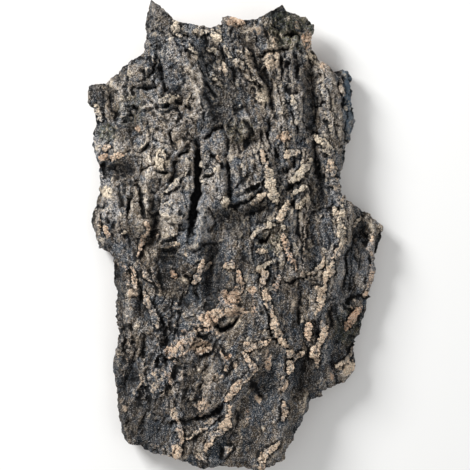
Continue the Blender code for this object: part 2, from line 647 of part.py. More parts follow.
def bark_mesh():
    """The closed body: rough outer face, torn rim and hollow inner face."""
    rim = torn_rim(RIM_SPACING * MM)
    inward = rim_inward(rim)
    top_field = field_points(rim, MODEL_SPACING * MM, 0.7 * MODEL_SPACING * MM)
    low_rim = rim + inward * (UNDERCUT + waves(rim[:, 0], rim[:, 1], UNEVEN_UNDERCUT, 52))[:, None]
    low_field = field_points(low_rim, UNDERSIDE_SPACING * MM, 0.45 * UNDERSIDE_SPACING * MM)
    places = []
    triangles = []

    top = np.concatenate([rim, top_field])
    top_z = outer_height(top[:, 0], top[:, 1], rim)
    places.extend(zip(top[:, 0], top[:, 1], top_z))
    triangles.extend((a, c, b) for a, b, c in triangulated(rim, top_field))

    low = np.concatenate([low_rim, low_field])
    low_z = inner_height(low[:, 0], low[:, 1])
    low_start = len(places)
    places.extend(zip(low[:, 0], low[:, 1], low_z))
    triangles.extend((low_start + a, low_start + b, low_start + c) for a, b, c in triangulated(low_rim, low_field))

    around = len(rim)
    rings = [list(range(around))]
    for share, seed in RIM_LAYERS:
        ring = rim + (low_rim - rim) * share + inward * waves(rim[:, 0], rim[:, 1], RIM_BULGES, seed)[:, None]
        ring_z = top_z[:around] + (low_z[:around] - top_z[:around]) * share
        rings.append([len(places) + k for k in range(around)])
        places.extend(zip(ring[:, 0], ring[:, 1], ring_z))
    rings.append([low_start + k for k in range(around)])
    for upper, lower in zip(rings, rings[1:]):
        triangles.extend(wall_between(upper, lower))

    metres = [((x - SHEET_MIDDLE[0]) / MM, (SHEET_MIDDLE[1] - y) / MM, z / MM) for x, y, z in places]
    mesh = bpy.data.meshes.new("cork_bark")
    mesh.from_pydata(metres, [], triangles)
    return mesh


def face_outward(mesh):
    """Turns the faces to point out of the body."""
    work = bmesh.new()
    work.from_mesh(mesh)
    bmesh.ops.recalc_face_normals(work, faces=work.faces)
    work.to_mesh(mesh)
    work.free()


def thin_out(bark):
    """Leaves triangles where the relief needs them, and as they are round the feet."""
    guard = bark.vertex_groups.new(name="free_to_thin")
    for vertex in bark.data.vertices:
        x = vertex.co.x * MM + SHEET_MIDDLE[0]
        y = SHEET_MIDDLE[1] - vertex.co.y * MM
        on_foot = any(math.dist((x, y), foot) < FOOT_GUARD_RADIUS * MM for foot in FEET)
        low = vertex.co.z < FOOT_GUARD_HEIGHT
        guard.add([vertex.index], 0.0 if on_foot and low else 1.0, "REPLACE")
    thinner = bark.modifiers.new("thinner", "DECIMATE")
    thinner.decimate_type = "COLLAPSE"
    thinner.ratio = MOST_TRIANGLES / len(bark.data.polygons)
    thinner.use_collapse_triangulate = True
    thinner.vertex_group = guard.name
    thinner.vertex_group_factor = 1.0


def cork_material():
    """Weathered cork: dull grey brown and rough."""
    material = bpy.data.materials.new("weathered_cork")
    material.use_nodes = True
    shader = material.node_tree.nodes["Principled BSDF"]
    shader.inputs["Base Color"].default_value = CORK_COLOUR
    shader.inputs["Roughness"].default_value = CORK_ROUGHNESS
    shader.inputs["Metallic"].default_value = 0
    return material


def clear_scene():
    """Removes whatever the scene holds."""
    for thing in list(bpy.data.objects):
        bpy.data.objects.remove(thing, do_unlink=True)


def main():
    """Builds the bark."""
    clear_scene()
    mesh = bark_mesh()
    face_outward(mesh)
    bark = bpy.data.objects.new("cork_bark", mesh)
    bpy.context.scene.collection.objects.link(bark)
    bark.data.materials.append(cork_material())
    thin_out(bark)


main()
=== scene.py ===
"""The dressed piece of virgin cork bark.

It repeats the coarse solid's outline, arch and strokes at a finer spacing, breaks its surface into crumbly
cork, grey crust and smooth furrows, and colours it by what each place is, with shade painted into its
pits, hollows and splits. Plan coordinates are millimetres on a drawing sheet, right of and below its upper
left corner, as the bark is seen from above; the mesh is in metres.
"""

import math
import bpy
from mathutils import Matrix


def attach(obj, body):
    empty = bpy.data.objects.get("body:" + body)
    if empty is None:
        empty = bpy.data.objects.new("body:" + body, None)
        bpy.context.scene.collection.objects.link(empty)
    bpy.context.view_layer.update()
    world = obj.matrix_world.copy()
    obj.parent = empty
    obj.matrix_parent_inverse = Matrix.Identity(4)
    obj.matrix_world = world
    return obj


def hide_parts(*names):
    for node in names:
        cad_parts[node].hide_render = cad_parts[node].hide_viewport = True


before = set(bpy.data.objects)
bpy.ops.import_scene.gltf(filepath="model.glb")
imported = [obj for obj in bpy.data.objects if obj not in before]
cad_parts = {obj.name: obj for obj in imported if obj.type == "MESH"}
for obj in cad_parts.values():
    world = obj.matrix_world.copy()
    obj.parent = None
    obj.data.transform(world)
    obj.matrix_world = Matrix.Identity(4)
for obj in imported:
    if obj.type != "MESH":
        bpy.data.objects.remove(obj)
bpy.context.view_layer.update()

from types import SimpleNamespace

import bpy
import numpy as np
from mathutils import Vector
from mathutils.geometry import delaunay_2d_cdt

# Driving dimensions, in metres, as in the coarse solid
BARK_WIDTH = 0.297
BARK_LENGTH = 0.469
ARCH_RISE = 0.030
BARK_THICKNESS = 0.020
THINNEST = 0.007
RIM_DROP = 0.006
RIM_ROUNDING = 0.012
UNDERSIDE_CLEARANCE = 0.0022
FOOT_RADIUS = 0.022
HIGHEST_RELIEF = 0.012
DEEPEST_RELIEF = 0.014

# How strongly the strokes below are raised and cut
SWELL_GAIN = 1.25
CREST_GAIN = 1.45
SPLIT_GAIN = 1.1

# Spacing of the fine mesh, in metres, and the shares of it that stay clear along the rim
TOP_SPACING = 0.00142
CRAG_SPACING = 0.00092
UNDERSIDE_SPACING = 0.0042
RIM_SPACING = 0.00150
TOP_MARGIN = 0.7
UNDERSIDE_MARGIN = 0.45
ROW_SHARE = 0.866
RIM_RINGS = 11
RIM_SMOOTHING = 8
RIM_BATCH = 200
MOST_TRIANGLES = 199000

# Crest and split strengths above which the mesh is finer
CRAGGY_CREST = 0.35
CRAGGY_SPLIT = 0.1

# Sizes in millimetres: cork blocks, blocks along a crest, the half width under which a split is a thin
# black line, how far a crest's flank leans out, how deep a pit and a hollow are, the layers of the torn
# edge, the farthest that the torn rim strays from the outline, and a distance beyond everything
BLOCK_WIDTH = 7.2
BLOCK_HEIGHT = 8.8
CREST_BLOCK = 6.2
THIN_SPLIT = 3.5
OVERHANG = 1.5
PIT_DEPTH = 0.8
HOLLOW_DEPTH = 5.0
LAYER_HEIGHT = 2.6
RIM_WANDER = 4
FAR_AWAY = 1e6

# Rounds of smoothing that pits and hollows are measured from
PIT_ROUNDS = 3
HOLLOW_ROUNDS = 45

# Millimetres in a metre, the sheet's middle, and the seed of every random draw
MM = 1000.0
SHEET_MIDDLE = (234.5, 234.5)
RANDOM_SEED = 7

# Camera and floor, in metres, but the sensor in millimetres
PICTURE_SIDE = 0.470
CAMERA_HEIGHT = 1.9
FRAMED_LEVEL = 0.030
SENSOR_WIDTH = 36
FLOOR_REACH = 3.0
FLOOR_GAP = 0.0002

# Looks of a place that the materials read
PAINTED_LOOKS = ("pit", "hollow", "rough", "block", "chunk", "cork", "warmth", "crack", "split",
                 "pale", "dark", "moss", "blue")

# The torn outline, clockwise from the tallest tooth at the upper left
OUTLINE = (
    (151, 0), (160, 5), (164, 10), (172, 18), (174, 21), (186, 24), (200, 26), (210, 28), (221, 25),
    (222, 18), (227, 17), (244, 21), (256, 20), (264, 16), (273, 10), (281, 5), (287, 11), (301, 17),
    (305, 16), (314, 25), (314, 31), (311, 40), (311, 46), (318, 59), (328, 64), (334, 70), (343, 67),
    (348, 69), (353, 77), (350, 82), (353, 90), (351, 100), (354, 108), (355, 120), (353, 128),
    (350, 139), (345, 148), (345, 160), (339, 177), (341, 193), (346, 199), (360, 208), (369, 213),
    (376, 219), (383, 226), (381, 240), (377, 251), (374, 261), (376, 270), (374, 281), (368, 292),
    (371, 297), (367, 300), (367, 309), (362, 322), (360, 334), (355, 340), (354, 350), (356, 363),
    (355, 370), (346, 382), (335, 386), (322, 391), (323, 396), (311, 399), (308, 406), (302, 421),
    (294, 433), (293, 440), (286, 447), (284, 459), (272, 465), (254, 469), (243, 465), (218, 464),
    (203, 467), (187, 460), (165, 454), (154, 454), (138, 446), (128, 444), (123, 440), (118, 423),
    (116, 405), (116, 395), (111, 370), (111, 361), (115, 350), (117, 334), (114, 310), (116, 292),
    (113, 280), (113, 258), (109, 252), (97, 248), (94, 232), (89, 221), (92, 212), (96, 200),
    (100, 182), (97, 172), (98, 167), (91, 145), (92, 131), (95, 124), (92, 108), (86, 102), (86, 87),
    (90, 83), (104, 82), (112, 76), (120, 69), (131, 59), (140, 55), (145, 50), (143, 43), (146, 38),
    (145, 22), (148, 9),
)

# Broad swells and hollows: height, half width, then the points of the line that each follows
SWELLS = (
    (5, 22, (160, 10), (172, 48), (186, 62)),
    (5, 13, (190, 68), (198, 95), (206, 114)),
    (5, 15, (152, 104), (160, 128), (166, 156)),
    (4, 11, (175, 128), (192, 120)),
    (5, 16, (100, 150), (118, 150)),
    (5, 20, (104, 192), (112, 218)),
    (3, 13, (150, 165), (140, 195)),
    (5, 15, (188, 172), (176, 212)),
    (6, 15, (214, 165), (218, 198)),
    (4, 11, (200, 208), (197, 244)),
    (4, 15, (246, 168), (243, 190)),
    (6, 11, (260, 155), (276, 203)),
    (4, 14, (306, 162), (298, 180)),
    (6, 18, (292, 96), (284, 136)),
    (6, 12, (326, 70), (331, 128)),
    (4, 12, (322, 138), (336, 192)),
    (7, 12, (341, 202), (341, 240), (325, 285), (316, 318), (322, 334), (315, 360)),
    (6, 14, (284, 208), (284, 240), (298, 270)),
    (3, 12, (262, 232), (252, 250)),
    (6, 17, (248, 276), (226, 304), (202, 324), (178, 346)),
    (5, 11, (264, 290), (274, 328), (286, 346)),
    (3, 10, (268, 338), (246, 344)),
    (4, 18, (154, 372), (157, 388)),
    (3, 20, (186, 352), (184, 385)),
    (5, 13, (214, 364), (206, 402)),
    (5, 9, (254, 356), (232, 392), (228, 416), (204, 444)),
    (4, 9, (283, 380), (283, 422)),
    (5, 11, (280, 436), (262, 464)),
    (4, 12, (180, 436), (176, 458)),
    (4, 15, (270, 50), (272, 66)),
    (4, 11, (258, 92), (266, 100)),
    (3, 13, (118, 86), (124, 112)),
    (3, 14, (240, 62), (246, 80)),
    (3, 10, (128, 286), (134, 330)),
    (3, 11, (148, 300), (158, 330)),
    (3, 12, (370, 226), (374, 262)),
    (3, 14, (352, 360), (342, 374)),
    (-7, 15, (204, 46), (207, 62)),
    (-6, 12, (226, 34), (248, 46), (262, 74), (275, 96)),
    (-8, 18, (214, 70), (224, 118)),
    (-6, 16, (240, 76), (238, 104)),
    (-5, 18, (284, 18), (280, 30)),
    (-5, 12, (178, 92), (184, 102)),
    (-5, 14, (126, 118), (136, 132)),
    (-6, 14, (108, 168), (130, 170)),
    (-5, 14, (90, 88), (100, 96)),
    (-4, 10, (158, 66), (150, 86)),
    (-6, 10, (308, 64), (312, 128)),
    (-6, 13, (316, 164), (320, 206)),
    (-7, 12, (222, 226), (248, 214), (276, 204)),
    (-7, 12, (216, 244), (206, 302)),
    (-7, 14, (166, 256), (178, 296)),
    (-5, 9, (158, 204), (150, 240)),
    (-3, 18, (118, 232), (128, 240)),
    (-4, 11, (250, 250), (240, 268)),
    (-4, 12, (140, 296), (144, 312)),
    (-5, 12, (128, 360), (124, 388)),
    (-5, 22, (152, 404), (140, 440)),
    (-4, 10, (200, 346), (192, 392), (184, 430)),
    (-5, 13, (268, 372), (256, 394), (240, 408)),
    (-6, 15, (308, 356), (300, 388)),
    (-5, 11, (348, 286), (352, 306)),
    (-5, 16, (344, 326), (340, 356)),
    (-4, 11, (362, 214), (358, 238)),
    (-4, 11, (312, 206), (308, 262)),
    (-4, 9, (236, 146), (256, 138)),
    (-4, 10, (296, 286), (300, 330)),
    (-4, 10, (256, 430), (250, 450)),
)

# Corky crests that stand up sharply: height, half width, how much bare cork shows, how warm its colour is,
# then the points of the line
CRESTS = (
    (5, 2.6, 1.0, 0.6, (259, 151), (263, 160), (267, 169)),
    (5, 4.6, 1.0, 0.35, (266, 166), (270, 184), (276, 203)),
    (5, 3.3, 1.0, 0.25, (341, 202), (341, 218), (338, 226), (342, 236), (337, 247), (333, 260)),
    (5, 3.6, 1.0, 0.25, (333, 262), (327, 274), (321, 290), (316, 314)),
    (3, 2.8, 0.9, 0.3, (331, 206), (336, 214), (340, 222)),
    (5, 3.6, 0.95, 0.35, (318, 318), (323, 326), (322, 335), (313, 352), (318, 366)),
    (5, 3.0, 1.0, 0.7, (281, 235), (285, 246), (290, 258), (296, 269)),
    (4, 2.8, 1.0, 0.45, (287, 201), (282, 213), (276, 222)),
    (3, 2.6, 0.8, 0.2, (281, 223), (284, 230)),
    (5, 3.6, 1.0, 0.3, (263, 288), (270, 312), (276, 332), (286, 345)),
    (4, 3.2, 0.8, 0.3, (288, 350), (294, 356), (302, 351)),
    (4, 3.0, 0.8, 0.3, (293, 357), (287, 371)),
    (4, 3.2, 0.8, 0.5, (308, 322), (307, 338)),
    (4, 3.6, 0.8, 0.4, (239, 378), (228, 398)),
    (4, 4.0, 0.8, 0.35, (229, 404), (226, 421), (213, 433), (204, 447)),
    (4, 4.0, 0.75, 0.4, (282, 376), (283, 388)),
    (4, 3.6, 0.75, 0.35, (282, 400), (284, 408), (281, 418)),
    (4, 3.6, 0.85, 0.3, (280, 438), (266, 448), (260, 457), (262, 466)),
    (3, 4.0, 0.55, 0.3, (145, 290), (153, 312), (158, 326)),
    (4, 4.4, 0.9, 0.3, (315, 137), (324, 145), (329, 155)),
    (4, 5.2, 0.9, 0.55, (327, 152), (329, 172), (336, 185), (340, 199)),
    (4, 2.8, 0.9, 0.2, (291, 98), (297, 120), (300, 130)),
    (4, 4.4, 0.5, 0.3, (322, 86), (326, 104), (329, 130)),
    (3, 2.6, 0.7, 0.5, (340, 80), (343, 94)),
    (4, 6.0, 0.0, 0.2, (338, 71), (344, 75)),
    (3, 4.6, 0.0, 0.2, (312, 69), (316, 76)),
    (3, 2.8, 0.75, 0.3, (346, 105), (348, 109)),
    (4, 3.4, 0.7, 0.1, (290, 182), (301, 172), (313, 161)),
    (3, 4.4, 0.65, 0.45, (286, 156), (295, 151)),
    (4, 3.0, 0.85, 0.7, (280, 137), (289, 137)),
    (3, 2.8, 0.85, 0.5, (250, 203), (257, 200), (264, 195)),
    (4, 3.2, 0.8, 0.2, (252, 237), (258, 229), (265, 225), (273, 226)),
    (3, 3.6, 0.6, 0.3, (257, 252), (265, 250)),
    (3, 2.2, 0.95, 0.0, (272, 240), (278, 248), (275, 254)),
    (3, 2.4, 0.85, 0.1, (252, 272), (262, 265), (273, 258)),
    (3, 2.4, 0.7, 0.35, (254, 270), (266, 270), (262, 280), (257, 286)),
    (3, 3.0, 0.75, 0.6, (277, 275), (272, 288)),
    (3, 2.0, 0.85, 0.1, (291, 195), (298, 190), (304, 188)),
    (3, 2.2, 0.9, 0.2, (293, 208), (300, 205), (305, 198)),
    (3, 2.4, 0.6, 0.3, (352, 225), (360, 219), (369, 216)),
    (3, 3.6, 0.6, 0.5, (371, 232), (370, 248), (374, 262), (371, 276), (365, 295)),
    (2, 2.0, 0.7, 0.2, (309, 276), (318, 266), (323, 258)),
    (3, 3.6, 0.5, 0.3, (314, 284), (320, 290)),
    (4, 3.6, 0.8, 0.4, (268, 338), (250, 346), (243, 342)),
    (4, 3.6, 0.75, 0.4, (242, 350), (253, 365), (242, 378)),
    (4, 2.6, 0.8, 0.3, (161, 244), (170, 243), (180, 243)),
    (3, 2.8, 0.6, 0.7, (146, 222), (148, 229)),
    (4, 3.2, 0.5, 0.6, (147, 232), (142, 243), (137, 255)),
    (2, 1.8, 0.6, 0.7, (157, 231), (156, 240)),
    (3, 2.8, 0.7, 0.4, (203, 261), (199, 272), (195, 282)),
    (3, 2.2, 0.7, 0.4, (211, 260), (204, 269)),
    (3, 4.0, 0.75, 0.5, (225, 263), (232, 267)),
    (3, 3.4, 0.85, 0.75, (171, 272), (176, 277)),
    (3, 4.6, 0.85, 0.1, (226, 198), (225, 206)),
    (3, 2.6, 0.5, 0.3, (212, 194), (221, 198)),
    (3, 4.2, 0.45, 0.2, (207, 151), (206, 163)),
    (2, 1.8, 0.9, 0.8, (216, 158), (219, 162)),
    (3, 4.6, 0.45, 0.4, (204, 173), (214, 168)),
    (3, 6.5, 0.05, 0.2, (218, 178), (222, 190)),
    (4, 6.0, 0.0, 0.2, (203, 205), (199, 222), (199, 243)),
    (4, 6.5, 0.6, 0.15, (163, 152), (162, 167)),
    (4, 5.5, 0.12, 0.2, (146, 184), (147, 213)),
    (3, 2.2, 0.1, 0.1, (141, 158), (137, 175), (131, 190), (127, 212)),
    (3, 9.0, 0.06, 0.3, (112, 192), (114, 222)),
    (3, 3.6, 0.5, 0.4, (97, 210), (98, 225)),
    (3, 2.4, 0.6, 0.8, (105, 227), (107, 235)),
    (3, 2.0, 0.5, 0.1, (121, 233), (128, 233)),
    (3, 4.0, 0.1, 0.2, (121, 171), (124, 182)),
    (3, 2.6, 0.95, 0.75, (100, 156), (124, 156)),
    (3, 2.8, 0.7, 0.75, (102, 146), (111, 147)),
    (2, 2.6, 0.5, 0.5, (97, 165), (101, 176)),
    (4, 3.6, 0.4, 0.2, (164, 193), (175, 184), (187, 173)),
    (2, 3.0, 0.5, 0.1, (165, 206), (171, 204)),
    (3, 7.5, 0.05, 0.2, (176, 208), (180, 228)),
    (2, 4.0, 0.3, 0.2, (188, 160), (192, 168)),
    (4, 5.5, 0.03, 0.2, (184, 74), (199, 97), (214, 124)),
    (3, 3.6, 0.5, 0.2, (160, 101), (178, 98)),
    (4, 3.4, 0.1, 0.2, (138, 112), (150, 104), (160, 114), (165, 126)),
    (4, 8.0, 0.25, 0.5, (168, 116), (181, 122)),
    (3, 4.6, 0.1, 0.2, (182, 134), (190, 140)),
    (3, 6.0, 0.05, 0.2, (181, 147), (192, 143)),
    (3, 3.2, 0.2, 0.3, (155, 42), (156, 45)),
    (3, 2.4, 0.3, 0.2, (153, 48), (153, 60), (151, 70)),
    (4, 3.4, 0.15, 0.2, (158, 62), (156, 75), (148, 82), (139, 85)),
    (3, 6.5, 0.05, 0.2, (144, 60), (146, 74)),
    (3, 8.0, 0.1, 0.3, (168, 50), (189, 67)),
    (3, 4.6, 0.5, 0.3, (172, 24), (181, 36)),
    (3, 3.6, 0.55, 0.3, (193, 33), (208, 33)),
    (3, 3.6, 0.55, 0.3, (212, 32), (220, 42)),
    (3, 3.8, 0.45, 0.3, (182, 46), (196, 54)),
    (3, 2.6, 0.7, 0.3, (208, 52), (218, 55)),
    (3, 2.8, 0.6, 0.3, (224, 50), (231, 59)),
    (3, 3.0, 0.5, 0.4, (222, 63), (226, 75)),
    (3, 3.0, 0.5, 0.2, (209, 74), (217, 81)),
    (3, 2.6, 0.5, 0.3, (219, 84), (223, 89)),
    (4, 4.2, 0.03, 0.2, (117, 83), (122, 101)),
    (3, 3.6, 0.03, 0.2, (128, 88), (132, 97)),
    (4, 5.0, 0.1, 0.2, (122, 109), (126, 118)),
    (3, 2.8, 0.7, 0.3, (93, 103), (100, 120)),
    (2, 2.0, 0.7, 0.4, (100, 84), (106, 86)),
    (3, 6.0, 0.05, 0.2, (105, 129), (107, 138)),
    (2, 2.4, 0.8, 0.9, (137, 129), (141, 130)),
    (4, 7.5, 0.25, 0.3, (267, 60), (270, 75)),
    (3, 6.0, 0.12, 0.3, (288, 59), (290, 64)),
    (4, 6.5, 0.1, 0.2, (288, 86), (292, 88)),
    (4, 4.6, 0.3, 0.3, (239, 53), (250, 66), (258, 80), (262, 90)),
    (3, 4.0, 0.55, 0.4, (236, 64), (243, 70)),
    (3, 3.6, 0.5, 0.4, (247, 79), (252, 84)),
    (3, 5.5, 0.5, 0.2, (257, 95), (262, 102)),
    (4, 5.5, 0.06, 0.3, (284, 102), (280, 120), (278, 131)),
    (3, 6.0, 0.12, 0.2, (232, 126), (231, 141)),
    (3, 5.5, 0.1, 0.2, (246, 128), (247, 141)),
    (3, 6.0, 0.06, 0.2, (257, 124), (263, 131)),
    (3, 6.0, 0.08, 0.2, (238, 190), (259, 184)),
    (3, 3.6, 0.4, 0.2, (243, 164), (243, 176)),
    (3, 3.0, 0.5, 0.8, (236, 24), (244, 26)),
    (3, 3.4, 0.3, 0.5, (270, 36), (276, 48)),
    (3, 3.2, 0.4, 0.7, (308, 36), (310, 62)),
    (3, 4.4, 0.2, 0.4, (300, 66), (300, 78)),
    (3, 2.6, 0.5, 0.6, (294, 26), (298, 32)),
    (4, 4.0, 0.85, 0.5, (238, 272), (239, 282), (235, 294)),
    (3, 3.2, 0.8, 0.8, (363, 306), (350, 320), (346, 328)),
    (3, 3.2, 0.55, 0.2, (355, 342), (350, 358), (336, 366)),
    (3, 1.4, 0.35, 0.4, (304, 175), (307, 195), (306, 211), (303, 226), (303, 246), (302, 275)),
    (3, 3.2, 0.6, 0.4, (178, 418), (182, 440), (176, 458)),
    (3, 9.0, 0.6, 0.6, (238, 288), (222, 306), (206, 322)),
    (3, 9.0, 0.5, 0.6, (197, 330), (181, 343), (168, 352)),
    (3, 10.0, 0.3, 0.5, (172, 362), (158, 384), (152, 394)),
    (3, 6.0, 0.1, 0.2, (204, 338), (213, 328)),
    (3, 5.0, 0.15, 0.3, (160, 330), (155, 352), (150, 372)),
    (3, 5.0, 0.25, 0.3, (213, 372), (204, 396), (196, 412)),
    (3, 4.0, 0.2, 0.3, (118, 300), (119, 326), (122, 350)),
    (2, 7.0, 0.3, 0.4, (120, 262), (128, 284)),
    (3, 4.0, 0.4, 0.4, (140, 262), (150, 280)),
    (3, 3.6, 0.4, 0.4, (152, 268), (160, 290)),
    (3, 3.0, 0.5, 0.4, (132, 268), (136, 290)),
    (3, 4.0, 0.15, 0.3, (182, 290), (176, 312), (172, 330)),
    (3, 4.0, 0.3, 0.4, (216, 344), (226, 358), (228, 372)),
    (3, 3.6, 0.6, 0.4, (196, 352), (210, 346)),
    (3, 4.0, 0.35, 0.3, (188, 434), (206, 424), (218, 412)),
    (3, 4.0, 0.3, 0.3, (232, 440), (222, 456)),
    (3, 3.4, 0.3, 0.4, (150, 444), (166, 450)),
    (3, 3.6, 0.3, 0.3, (196, 450), (206, 460)),
    (3, 3.4, 0.3, 0.3, (342, 300), (352, 308)),
    (3, 3.6, 0.2, 0.3, (330, 300), (336, 330)),
    (3, 3.6, 0.2, 0.3, (352, 268), (350, 290)),
    (3, 4.0, 0.2, 0.3, (128, 320), (130, 350), (124, 376)),
    (3, 4.0, 0.2, 0.3, (146, 345), (140, 372), (142, 398)),
    (3, 4.0, 0.2, 0.3, (172, 300), (162, 340), (164, 392)),
    (3, 4.0, 0.2, 0.3, (184, 352), (180, 400)),
)

# Splits in the bark: depth, half width, then the points of the line
SPLITS = (
    (15, 3.6, (197, 141), (198, 162), (198, 182), (195, 203), (191, 218), (190, 242)),
    (7, 3, (193, 252), (207, 243), (222, 243)),
    (7, 3, (165, 423), (190, 418), (210, 412), (228, 399)),
    (7, 3, (250, 57), (280, 52), (293, 51)),
    (6, 3, (288, 37), (300, 37)),
    (5, 3, (295, 52), (295, 75)),
    (9, 4, (238, 30), (252, 57), (268, 86), (275, 118)),
    (6, 3, (282, 88), (290, 95), (298, 92)),
    (7, 4, (183, 262), (192, 275), (198, 287)),
    (6, 3, (140, 285), (142, 302)),
    (6, 3, (213, 315), (222, 330), (238, 317)),
    (7, 3, (343, 300), (352, 297), (371, 297)),
    (6, 3, (98, 163), (104, 172)),
    (9, 4.5, (313, 318), (316, 338)),
    (6, 4, (163, 315), (166, 350)),
    (6, 4, (146, 335), (141, 365)),
    (6, 3, (208, 153), (217, 162), (225, 168)),
    (6, 3, (270, 234), (258, 242)),
    (8, 5, (308, 62), (313, 96), (310, 128)),
    (7, 5, (156, 214), (152, 250)),
    (7, 5, (163, 256), (176, 262)),
    (8, 5, (214, 246), (205, 300)),
    (7, 4, (360, 212), (366, 240)),
    (7, 4, (208, 360), (198, 400)),
    (6, 4, (126, 414), (132, 440)),
    (7, 5, (360, 316), (350, 340)),
    (8, 5, (104, 166), (134, 174)),
    (8, 5, (122, 118), (138, 132)),
    (7, 4, (314, 140), (318, 176), (324, 204)),
    (6, 4, (300, 290), (296, 326)),
    (7, 4, (244, 214), (272, 206)),
    (6, 4, (176, 158), (172, 186)),
    (6, 4, (228, 160), (230, 200)),
    (7, 4, (330, 352), (336, 380)),
    (6, 4, (150, 392), (142, 436)),
    (6, 3, (250, 380), (262, 398)),
    (7, 4, (302, 358), (296, 392)),
    (7, 2.6, (182, 34), (190, 41)),
    (7, 2.4, (160, 64), (163, 80), (169, 96)),
    (6, 2.2, (158, 107), (178, 103), (197, 109)),
    (6, 2.6, (203, 80), (209, 90), (216, 101)),
    (6, 2.4, (240, 120), (251, 131), (245, 147)),
    (6, 2.0, (280, 54), (280, 82)),
    (7, 2.2, (289, 114), (297, 131)),
    (6, 2.2, (307, 105), (318, 106), (323, 100)),
    (7, 2.6, (342, 95), (344, 110)),
    (7, 2.8, (141, 90), (160, 87)),
    (7, 2.6, (133, 108), (140, 111)),
    (9, 3.6, (297, 160), (290, 167), (280, 172)),
    (6, 2.0, (305, 279), (318, 270), (329, 262)),
    (6, 2.0, (285, 281), (299, 278), (308, 277)),
    (9, 3.4, (315, 157), (316, 170), (321, 180)),
    (6, 2.0, (141, 171), (157, 163)),
    (6, 2.0, (155, 170), (169, 172)),
    (6, 2.4, (228, 208), (243, 203), (256, 195)),
    (6, 2.0, (236, 196), (250, 190), (263, 182)),
    (6, 2.0, (280, 190), (290, 186), (301, 181)),
    (7, 2.6, (157, 218), (152, 228), (150, 238)),
    (8, 3.6, (161, 250), (178, 250)),
    (6, 2.2, (201, 178), (210, 177)),
    (7, 2.6, (101, 161), (105, 170)),
    (6, 2.4, (137, 180), (142, 200), (145, 216)),
    (6, 2.4, (128, 198), (129, 222)),
    (6, 2.0, (96, 206), (104, 209)),
    (7, 2.6, (256, 237), (268, 241)),
    (6, 2.4, (277, 160), (272, 150)),
    (7, 2.8, (291, 206), (295, 200)),
    (7, 3.0, (302, 36), (286, 38)),
    (7, 2.4, (186, 150), (176, 156)),
    (6, 2.4, (170, 128), (174, 146)),
    (6, 2.2, (148, 118), (150, 140), (142, 152)),
    (7, 2.8, (202, 142), (214, 130), (226, 126)),
    (6, 2.4, (232, 112), (246, 108)),
    (6, 2.4, (268, 138), (270, 122)),
    (7, 2.8, (213, 60), (203, 66)),
    (7, 2.6, (232, 66), (234, 84)),
    (6, 2.4, (324, 132), (310, 134)),
    (7, 2.2, (219, 289), (227, 301), (238, 304)),
    (7, 2.4, (207, 309), (214, 321), (220, 328), (232, 325), (239, 314)),
    (7, 2.2, (184, 271), (195, 286), (197, 300)),
    (7, 2.2, (265, 302), (268, 314), (268, 331), (278, 342)),
    (6, 2.0, (354, 242), (346, 256), (344, 270), (340, 289)),
    (6, 2.0, (193, 325), (199, 334), (210, 337)),
    (6, 2.0, (180, 336), (186, 348)),
)

# How far the trunk's curve reaches to the left and to the right, at heights down the sheet
CURVE_HEIGHTS = (0, 60, 115, 230, 330, 400, 469)
CURVE_LEFT = (112, 100, 89, 92, 109, 113, 122)
CURVE_RIGHT = (338, 346, 354, 380, 364, 336, 306)

# How the grain leans in two places: lean, middle height and reach down the sheet, middle and reach across it
LEANS = ((0.4, 90, 50, 255, 70), (-0.7, 350, 50, 215, 80))

# Three low spots under the bark, round its weight, that it rests on
FEET = ((106, 112), (361, 246), (133, 394))

